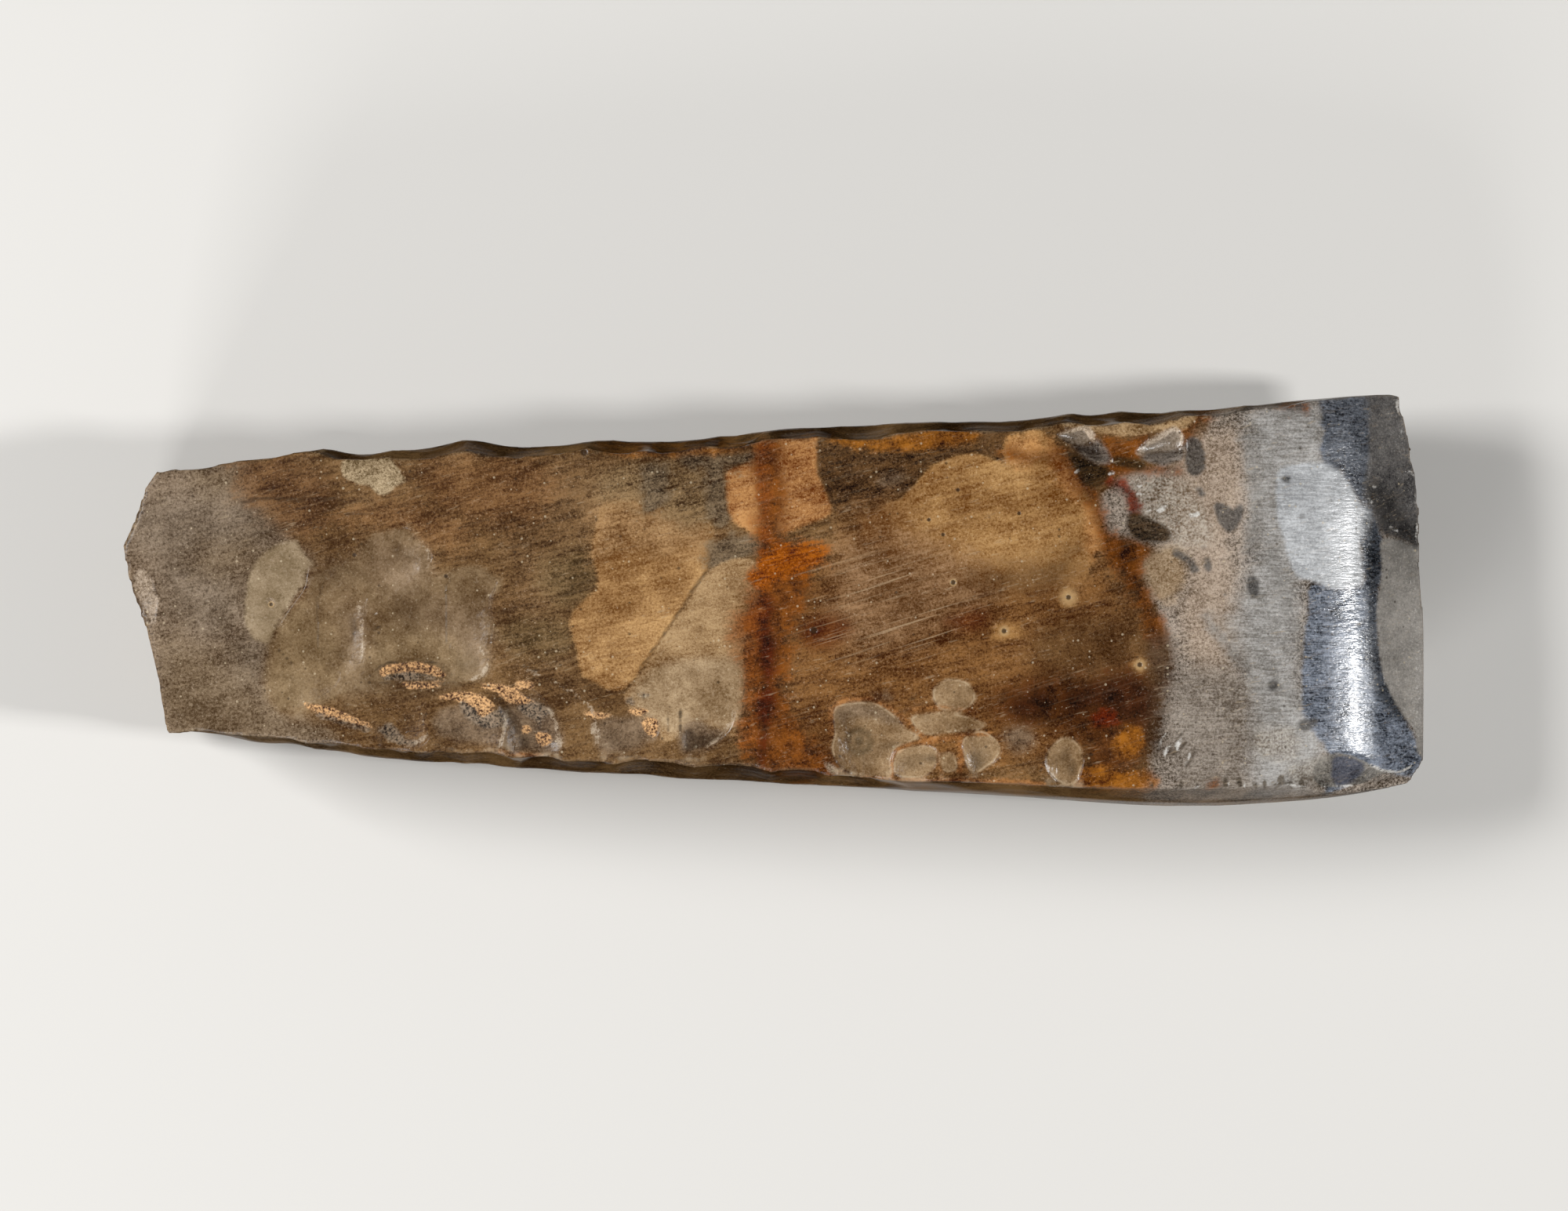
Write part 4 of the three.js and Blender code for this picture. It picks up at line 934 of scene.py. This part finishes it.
def stone_object():
    """The visual stone, with what the material needs to know on its vertices."""
    vertices, faces = remeshed_solid(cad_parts["axe_blade"])
    vertices = smoothed_between_ridges(vertices, faces)
    normals = vertex_normals(vertices, faces)
    where = to_photo(vertices)
    upper = (normals[:, 2] > UPPER_TILT) & (vertices[:, 2] > MIDDLE_Z)
    drop, inward, height = rim_profile(where, upper)
    vertices[:, 2] -= drop * MM
    scar_depth, scar_way, scar_tone = flake_scars(vertices, normals, faces)
    vertices -= unit(normals * np.array([1, 1, 0])) * scar_depth[:, None]
    normals = vertex_normals(vertices, faces)
    vertices = np.clip(vertices, low_corner, high_corner)
    side = 1 - ramp(np.abs(normals[:, 2]), *SIDE_TILTS)
    sheen = FACE_SHEEN + (POLISHED_SHEEN - FACE_SHEEN) * ramp(where[:, 0], *POLISH_STARTS_PX)
    side_sheen = SIDE_SHEEN * (1 - ramp(normals[:, 2], *SIDE_SHEEN_TILTS))
    values = zone_distances(where, through_the_stone(where, vertices), upper) | dict(
        ridge=ridge_measure(vertices, faces),
        rim_distance=inward,
        rim_height=height,
        upper=upper.astype(float),
        side=side,
        scar_way=scar_way,
        scar_depth=scar_depth / MM,
        scar_tone=evened(scar_tone, faces, 1),
        sheen=sheen + side * (side_sheen - sheen),
    )
    mesh = bpy.data.meshes.new("flint_axe")
    mesh.from_pydata(vertices.tolist(), [], faces.tolist())
    mesh.update()
    for name, numbers in values.items():
        layer = mesh.attributes.new(name, "FLOAT", "POINT")
        layer.data.foreach_set("value", numbers.astype(np.float32))
    place = mesh.attributes.new("place", "FLOAT_VECTOR", "POINT")
    flat = np.concatenate([where, np.zeros((len(where), 1))], axis=1)
    place.data.foreach_set("vector", flat.astype(np.float32).ravel())
    mesh.polygons.foreach_set("use_smooth", np.ones(len(faces), bool))
    stone = bpy.data.objects.new("flint_axe", mesh)
    bpy.context.scene.collection.objects.link(stone)
    return stone


# The stone's material

# Frames that noises lie in: a turn about Z in degrees, then the stretch along each axis.
PLACES = {
    "plain": (0, (1, 1, 1)),
    "striae": (12, (6, 1, 1.5)),
    "threads": (16, (7, 1, 2)),
    "scratches": (17, (42, 1, 3)),
    "brushing": (-1, (18, 1, 2)),
}

# Noises: the frame, the scale for each millimetre, the detail and the roughness.
NOISES = {
    "cloud": ("plain", 0.11, 3, 0.6),
    "mottle": ("plain", 0.55, 4, 0.52),
    "fine": ("plain", 2.8, 3, 0.9),
    "streak": ("striae", 1.0, 5, 0.76),
    "brush": ("brushing", 3.2, 3, 0.75),
    "pore": ("plain", 3.0, 2, 0.6),
    "thread": ("threads", 2.6, 2, 0.7),
    "scratch": ("scratches", 2.2, 2, 0.6),
    "lump": ("plain", 0.6, 2, 0.6),
    "grit": ("plain", 2.8, 2, 0.7),
    "stria": ("striae", 1.2, 2, 0.7),
    "brush_line": ("brushing", 3.2, 2, 0.7),
    "wave": ("plain", 0.28, 3, 0.5),
}

# Grains are weighted sums of noises. GRAIN_SWING either side of zero is a grain's full contrast.
GRAINS = {
    "matt": dict(cloud=0.45, mottle=0.25, fine=1.3, streak=0.4),
    "streak": dict(cloud=0.45, mottle=0.25, fine=1.15, streak=0.85),
    "smooth": dict(cloud=0.6, mottle=0.35, fine=0.75),
    "ochre": dict(cloud=0.5, mottle=0.2, fine=1.0, streak=0.6),
    "brushed": dict(cloud=0.5, mottle=0.25, fine=0.8, brush=0.75),
    "vein": dict(cloud=0.4, mottle=0.7, fine=0.8, streak=0.35),
    "porous": dict(mottle=0.5, pore=1.3, fine=0.4),
    "scar": dict(cloud=0.9, mottle=0.15, fine=0.45),
}
GRAIN_SWING = 0.18
RAG = dict(mottle=0.9, fine=0.6, streak=0.9)  # pushes the edges of patches about

# Tones of what lies over the patches, as sRGB. The gaps and clouds darken what they lie over.
# Painted light among them: the glints and crests are painted highlights, the pale arrises are wear
# and painted highlight, the hollows are painted shade, and so is the near-black tone of the sides.
TONES = {
    "flake_rim": (206, 184, 152), "thread": (190, 170, 140), "gap": (120, 112, 104),
    "glint": (214, 198, 172), "cloud": (205, 196, 186), "pale_dot": (205, 188, 158),
    "dark_dot": (48, 34, 20), "scratch": (186, 160, 126), "pit_halo": (190, 158, 112),
    "pit": (46, 30, 16), "side": (20, 11, 4), "dark_scar": (42, 28, 15), "pale_scar": (124, 96, 62),
    "wear": (178, 154, 122), "crest": (200, 180, 150), "hollow": (28, 16, 7),
}

# Ramps: where each one starts and ends, then its values there when they aren't 0 and 1.
RAMPS = {
    "in_flake": (-3, 3),
    "near_flake": (-16, -6),
    "flake_rim": (0.4, 2, 0.4, 0),
    "rim_break": (0.42, 0.6),
    "thread": (0.6, 0.72, 0, 0.3),
    "thread_break": (0.42, 0.58),
    "gap": (0.26, 0.36, 0.34, 0),
    "glint": (0.64, 0.74, 0, 0.5),
    "cloud": (0.36, 0.64, 0.6, 0.15),
    "clouded_px": (1430, 1500, 1, 0),
    "dot": (-0.02, 0.05),
    "scratch": (0.56, 0.7),
    "scratch_band": (0, 1, 0.05, 0.5),
    "wear": (0.04, 0.1, 0, 0.5),
    "wear_and_painted_highlight_break": (0.3, 0.8),
    "flaked_side": (0.9, 1, 0, 0.6),
    "crest": (0.01, 0.03, 0, 0.3),
    "painted_crest_highlight_break": (0.4, 0.6),
    "hollow": (-0.02, -0.003, 0.5, 0),
    "rim_wall": (-1.1, 1.1),
    "cut": (-2, 2),
    "grit_pit": (0.6, 0.7),
    "brushed": (-10, 10),
    "ripple_start": (0.3, 1.5),
    "ripple_depth": (0.05, 0.3),
    "polish_px": (1480, 1680, 1, 0.3),
    "matt_px": (700, 1500, 0.36, 0.2),
}

# Dots: cells for each millimetre, the largest radius in cells, the share of cells, the opacity.
PALE_DOTS, DARK_DOTS = (1.3, 0.25, 0.22, 0.45), (0.9, 0.22, 0.22, 0.6)

# Long scratches show most in a part of the upper face, which fades out over SCRATCH_FADE pixels.
SCRATCHED_PX, SCRATCH_FADE = ((990, 1270), (680, 880)), 80

FLAKE_RIM_PX = 1.5  # a pale rim lies this far inside each cream flake
HALO_COVER, PIT_COVER, PIT_FLOOR = 0.6, 0.85, 0.5  # opacities, and a share of a pit's radius
# The sides are darkened towards a near-black tone as painted shade.
SIDE_SHADE_COVER = 0.75  # how far the tone of the scars covers the patches on the sides
RIPPLES_PER_MM, RIPPLE_WANDER = 4.6, 6

# Relief too fine for the mesh, in millimetres.
RIM_RELIEF, CUT_RELIEF, PIT_RELIEF = -0.95, -0.06, -0.12
UNEVENNESS, GRIT_PIT_RELIEF = dict(lump=0.06, grit=0.035), -0.03
STRIA_RELIEF, BRUSH_RELIEF, RIPPLE_RELIEF, WAVE_RELIEF = 0.03, 0.035, 0.02, 0.5

# What changes the roughness.
MATT_NOISE, MATT_SWING = dict(cloud=1, fine=0.6), 0.3
SLATE_MATT, CORTEX_MATT, SIDE_MATT = -0.02, 0.4, 0.06
REFRACTION = 1.5


def linear(tone):
    """An sRGB tone of 0 to 255 as a linear colour."""
    parts = [v / 255 for v in tone]
    return tuple(v / 12.92 if v <= 0.04045 else ((v + 0.055) / 1.055) ** 2.4 for v in parts) + (1,)


def is_socket(value):
    return isinstance(value, bpy.types.NodeSocket)


class Graph:
    """A material, and short names for making its nodes."""

    def __init__(self, name):
        self.material = bpy.data.materials.new(name)
        self.material.use_nodes = True
        self.tree = self.material.node_tree
        self.shader = self.tree.nodes["Principled BSDF"]

    def put(self, socket, value):
        if is_socket(value):
            self.tree.links.new(value, socket)
        else:
            socket.default_value = value

    def node(self, kind, inputs=(), **settings):
        node = self.tree.nodes.new("ShaderNode" + kind)
        for name, value in settings.items():
            setattr(node, name, value)
        for key, value in dict(inputs).items():
            self.put(node.inputs[key], value)
        return node

    def value(self, name):
        return self.node("Attribute", attribute_name=name).outputs["Fac"]

    def math(self, operation, *values):
        return self.node("Math", enumerate(values), operation=operation).outputs[0]

    def times(self, first, *others):
        for other in others:
            first = self.math("MULTIPLY", first, other)
        return first

    def most(self, first, *others):
        for other in others:
            first = self.math("MAXIMUM", first, other)
        return first

    def step(self, value, low, high, start=0.0, end=1.0, kind="SMOOTHSTEP"):
        names = ("Value", "From Min", "From Max", "To Min", "To Max")
        inputs = zip(names, (value, low, high, start, end))
        return self.node("MapRange", inputs, interpolation_type=kind).outputs["Result"]

    def mix(self, factor, a, b, blend="MIX"):
        factor_and_colours = {0: factor, 6: a, 7: b}
        node = self.node("Mix", factor_and_colours, data_type="RGBA", blend_type=blend)
        return node.outputs[2]

    def place(self, turn, stretch):
        """Positions in millimetres, turned about Z in degrees, then stretched."""
        inputs = dict(
            Vector=self.node("TexCoord").outputs["Object"],
            Rotation=(0, 0, math.radians(turn)),
            Scale=tuple(s * MM for s in stretch),
        )
        return self.node("Mapping", inputs, vector_type="TEXTURE").outputs["Vector"]

    def noise(self, vector, scale, detail, roughness):
        inputs = dict(Vector=vector, Scale=scale, Detail=detail, Roughness=roughness)
        return self.node("TexNoise", inputs).outputs["Fac"]

    def ramp(self, name, value):
        return self.step(value, *RAMPS[name])

    def dots(self, vector, scale, radius, share, opacity):
        """Small dots in a random part of the cells of a Voronoi pattern."""
        cells = self.node("TexVoronoi", dict(Vector=vector, Scale=scale)).outputs
        parts = self.node("SeparateColor", dict(Color=cells["Color"])).outputs
        size = self.times(parts["Green"], radius)
        spot = self.ramp("dot", self.math("SUBTRACT", size, cells["Distance"]))
        return self.times(spot, self.math("LESS_THAN", parts["Red"], share), opacity)


class Stone(Graph):
    """The flint: patches of colour, marks over them, fine relief and gloss."""

    def __init__(self):
        super().__init__("flint")
        self.places = {name: self.place(*facts) for name, facts in PLACES.items()}
        self.noises = {
            name: self.noise(self.places[place], *facts)
            for name, (place, *facts) in NOISES.items()
        }
        self.grains = {
            name: self.step(self.weighted(weights), -GRAIN_SWING, GRAIN_SWING, kind="LINEAR")
            for name, weights in GRAINS.items()
        }
        self.spot = self.node("Attribute", attribute_name="place").outputs["Vector"]
        self.across, self.down = self.node("SeparateXYZ", dict(Vector=self.spot)).outputs[:2]
        self.upper, self.side, self.ridge = (self.value(n) for n in ("upper", "side", "ridge"))
        self.scars = self.ramp("in_flake", self.any_of("scarred_grey", "cream_flakes"))
        self.ground = self.math("SUBTRACT", 1.0, self.most(self.scars, self.side))
        self.colour = self.two_tones(self.grains["streak"], BASE_TONES)
        self.relief = self.pits = 0.0
        self.masks = {}

    def any_of(self, *names):
        """The distance into the nearest of some patches."""
        return self.most(*(self.value(name) for name in names))

    def swing(self, noise):
        """A noise about zero."""
        return self.math("SUBTRACT", self.noises[noise], 0.5)

    def weighted(self, weights):
        total = 0.0
        for noise, weight in weights.items():
            total = self.math("MULTIPLY_ADD", self.swing(noise), weight, total)
        return total

    def noise_ramp(self, name, noise):
        return self.ramp(name, self.noises[noise])

    def two_tones(self, factor, tones):
        return self.mix(factor, *(linear(tone) for tone in tones))

    def paint(self, mask, tone, blend="MIX"):
        """Lays a tone, or a colour from a node, over the stone."""
        tone = tone if is_socket(tone) else linear(TONES[tone])
        self.colour = self.mix(mask, self.colour, tone, blend)

    def raise_by(self, height, factor):
        self.relief = self.math("MULTIPLY_ADD", height, factor, self.relief)

    def lay_patches(self):
        rag = self.weighted(RAG)
        for name, zone in PATCHES.items():
            tone = self.two_tones(self.grains[zone["grain"]], zone["tones"])
            distance = self.math("MULTIPLY_ADD", rag, float(zone["rag"]), self.value(name))
            mask = self.step(distance, -zone["soft"], zone["soft"], 0, zone["opacity"])
            self.paint(mask, tone)
            self.masks[name] = mask
        inside = self.math("SUBTRACT", self.value("cream_flakes"), FLAKE_RIM_PX)
        rim = self.ramp("flake_rim", self.math("ABSOLUTE", inside))
        self.paint(self.times(rim, self.noise_ramp("rim_break", "mottle")), "flake_rim")

    def lay_grain(self):
        """Threads, gaps, painted glints (painted highlights), clouds, dots and scratches."""
        thread = self.noise_ramp("thread", "thread")
        broken = self.noise_ramp("thread_break", "mottle")
        self.paint(self.times(thread, broken, self.ground), "thread")
        self.paint(self.noise_ramp("gap", "fine"), "gap", "MULTIPLY")
        # Pale specks from the fine noise: painted glints, standing for highlights.
        self.paint(self.noise_ramp("glint", "fine"), "glint")
        cloud = self.times(self.noise_ramp("cloud", "cloud"), self.ramp("clouded_px", self.across))
        self.paint(cloud, "cloud", "MULTIPLY")
        self.paint(self.dots(self.places["plain"], *PALE_DOTS), "pale_dot")
        self.paint(self.dots(self.places["plain"], *DARK_DOTS), "dark_dot")
        band = self.upper
        for socket, (low, high) in zip((self.across, self.down), SCRATCHED_PX):
            rise = self.step(socket, low, low + SCRATCH_FADE)
            fall = self.step(socket, high - SCRATCH_FADE, high, 1, 0)
            band = self.times(band, self.times(rise, fall))
        scratch = self.noise_ramp("scratch", "scratch")
        self.paint(self.times(scratch, self.ramp("scratch_band", band), self.ground), "scratch")

    def lay_pits(self):
        for across, down, radius, ring in PITS:
            ends = {0: self.spot, 1: (across, down, 0)}
            gap = self.node("VectorMath", ends, operation="DISTANCE").outputs["Value"]
            if ring:
                halo = self.step(gap, radius, radius + ring, HALO_COVER, 0)
                self.paint(self.times(halo, self.upper), "pit_halo")
            hole = self.times(self.step(gap, radius * PIT_FLOOR, radius, PIT_COVER, 0), self.upper)
            self.paint(hole, "pit")
            self.pits = self.most(self.pits, hole)

    def lay_sides(self):
        """The tones of the side scars, darkened as painted shade, then pale wear and a painted
        highlight on ridges, painted highlights on crests and painted shade in hollows.
        """
        # Painted shade: the side scars' tones, a random one for each scar, mixed towards
        # near-black.
        scar = self.two_tones(self.value("scar_tone"), (TONES["dark_scar"], TONES["pale_scar"]))
        scar = self.mix(self.grains["scar"], linear(TONES["side"]), scar)
        self.paint(self.times(self.side, SIDE_SHADE_COVER), scar)
        # Ridges paled: partly wear, partly a painted highlight along the arrises.
        worn_and_lit = self.ramp("wear", self.ridge)
        self.paint(self.times(worn_and_lit, self.ramp("wear_and_painted_highlight_break", self.grains["streak"])), "wear")
        # Painted highlights on crests by flakes and on the sides, then painted shade in every
        # hollow.
        flakes = self.any_of("scarred_grey", "grey_flakes", "cream_flakes")
        flaked = self.most(self.ramp("near_flake", flakes), self.ramp("flaked_side", self.side))
        crest = self.times(self.ramp("crest", self.ridge), flaked)
        self.paint(self.times(crest, self.noise_ramp("painted_crest_highlight_break", "mottle")), "crest")
        self.paint(self.ramp("hollow", self.ridge), "hollow")

    def add_relief(self):
        wall = self.ramp("rim_wall", self.value("rim_distance"))
        self.raise_by(self.times(wall, self.value("rim_height")), RIM_RELIEF)
        cuts = self.any_of("cortex", "cream_flakes", "pale_chips")
        self.raise_by(self.ramp("cut", cuts), CUT_RELIEF)
        self.raise_by(self.pits, PIT_RELIEF)
        pits = self.noise_ramp("grit_pit", "grit")
        uneven = self.math("MULTIPLY_ADD", pits, GRIT_PIT_RELIEF, self.weighted(UNEVENNESS))
        self.raise_by(uneven, self.ramp("polish_px", self.across))
        self.raise_by(self.times(self.swing("stria"), STRIA_RELIEF), self.ground)
        brushed = self.ramp("brushed", self.value("right_grey"))
        self.raise_by(self.times(self.swing("brush_line"), BRUSH_RELIEF), brushed)
        way, depth = self.value("scar_way"), self.value("scar_depth")
        phase = self.times(way, RIPPLES_PER_MM)
        phase = self.math("MULTIPLY_ADD", self.noises["mottle"], RIPPLE_WANDER, phase)
        kept = (self.ramp("ripple_start", way), self.ramp("ripple_depth", depth), self.side)
        self.raise_by(self.times(self.math("SINE", phase), *kept), RIPPLE_RELIEF)
        self.raise_by(self.times(self.swing("wave"), self.scars), WAVE_RELIEF)

    def finish(self):
        bump = self.node("Bump", dict(Strength=1.0, Distance=MM, Height=self.relief))
        rough = self.ramp("matt_px", self.across)
        for mask, factor in (
            (self.weighted(MATT_NOISE), MATT_SWING), (self.masks["slate_band"], SLATE_MATT),
            (self.masks["cortex"], CORTEX_MATT), (self.side, SIDE_MATT),
        ):
            rough = self.math("MULTIPLY_ADD", mask, factor, rough)
        inputs = {
            "Base Color": self.colour, "Normal": bump.outputs["Normal"], "Roughness": rough,
            "Specular IOR Level": self.value("sheen"), "IOR": REFRACTION,
        }
        for name, value in inputs.items():
            self.put(self.shader.inputs[name], value)
        return self.material


def stone_material():
    stone = Stone()
    stone.lay_patches()
    stone.lay_grain()
    stone.lay_pits()
    stone.lay_sides()
    stone.add_relief()
    return stone.finish()


# Stage

FLOOR_HALF, FLOOR_GAP, FLOOR_TONE, FLOOR_ROUGHNESS = 3.0, 0.0002, (218, 216, 212), 0.9
WORLD_STRENGTH = 0.1

# Lamps: place, target, size and power.
LAMPS = {
    "left_softbox": ((-0.95, 0.25, 0.7), (0, 0, 0), (0.4, 0.4), 14),
    "front_softbox": ((-0.4, -0.9, 0.4), (0, 0, 0), (0.3, 0.3), 5),
    "right_softbox": ((0.8, -0.09, 0.7), (0.08, -0.01, 0.02), (0.1, 0.16), 6),
}


def added(name, data, place=(0, 0, 0)):
    """A new object in the scene."""
    thing = bpy.data.objects.new(name, data)
    thing.location = place
    bpy.context.scene.collection.objects.link(thing)
    return thing


def stage():
    scene = bpy.context.scene
    scene.view_settings.view_transform = "Standard"
    scene.world = bpy.data.worlds.new("studio")
    scene.world.use_nodes = True
    background = scene.world.node_tree.nodes["Background"]
    background.inputs["Color"].default_value = (1, 1, 1, 1)
    background.inputs["Strength"].default_value = WORLD_STRENGTH
    mesh = bpy.data.meshes.new("floor")
    turns = ((-1, -1), (1, -1), (1, 1), (-1, 1))
    mesh.from_pydata([(FLOOR_HALF * x, FLOOR_HALF * y, 0) for x, y in turns], [], [(0, 1, 2, 3)])
    floor = added("floor", mesh, (0, 0, low_corner.z - FLOOR_GAP))
    paint = Graph("pale_floor")
    paint.put(paint.shader.inputs["Base Color"], linear(FLOOR_TONE))
    paint.put(paint.shader.inputs["Roughness"], FLOOR_ROUGHNESS)
    mesh.materials.append(paint.material)
    for name, (place, target, size, power) in LAMPS.items():
        lamp = bpy.data.lights.new(name, "AREA")
        lamp.shape = "RECTANGLE"
        lamp.size, lamp.size_y = size
        lamp.energy = power
        aim = Vector(target) - Vector(place)
        added(name, lamp, place).rotation_euler = aim.to_track_quat("-Z", "Y").to_euler()


def camera():
    eye = bpy.data.cameras.new("camera")
    eye.sensor_fit = "HORIZONTAL"
    eye.sensor_width = SENSOR_WIDTH_MM
    eye.lens = FOCAL_PX / PHOTO_WIDTH * SENSOR_WIDTH_MM
    bpy.context.scene.camera = added("camera", eye, (CAMERA_X, CAMERA_Y, CAMERA_HEIGHT))


camera()
stage()
stone = stone_object()
stone.data.materials.append(stone_material())
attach(stone, "root")
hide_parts("axe_blade")
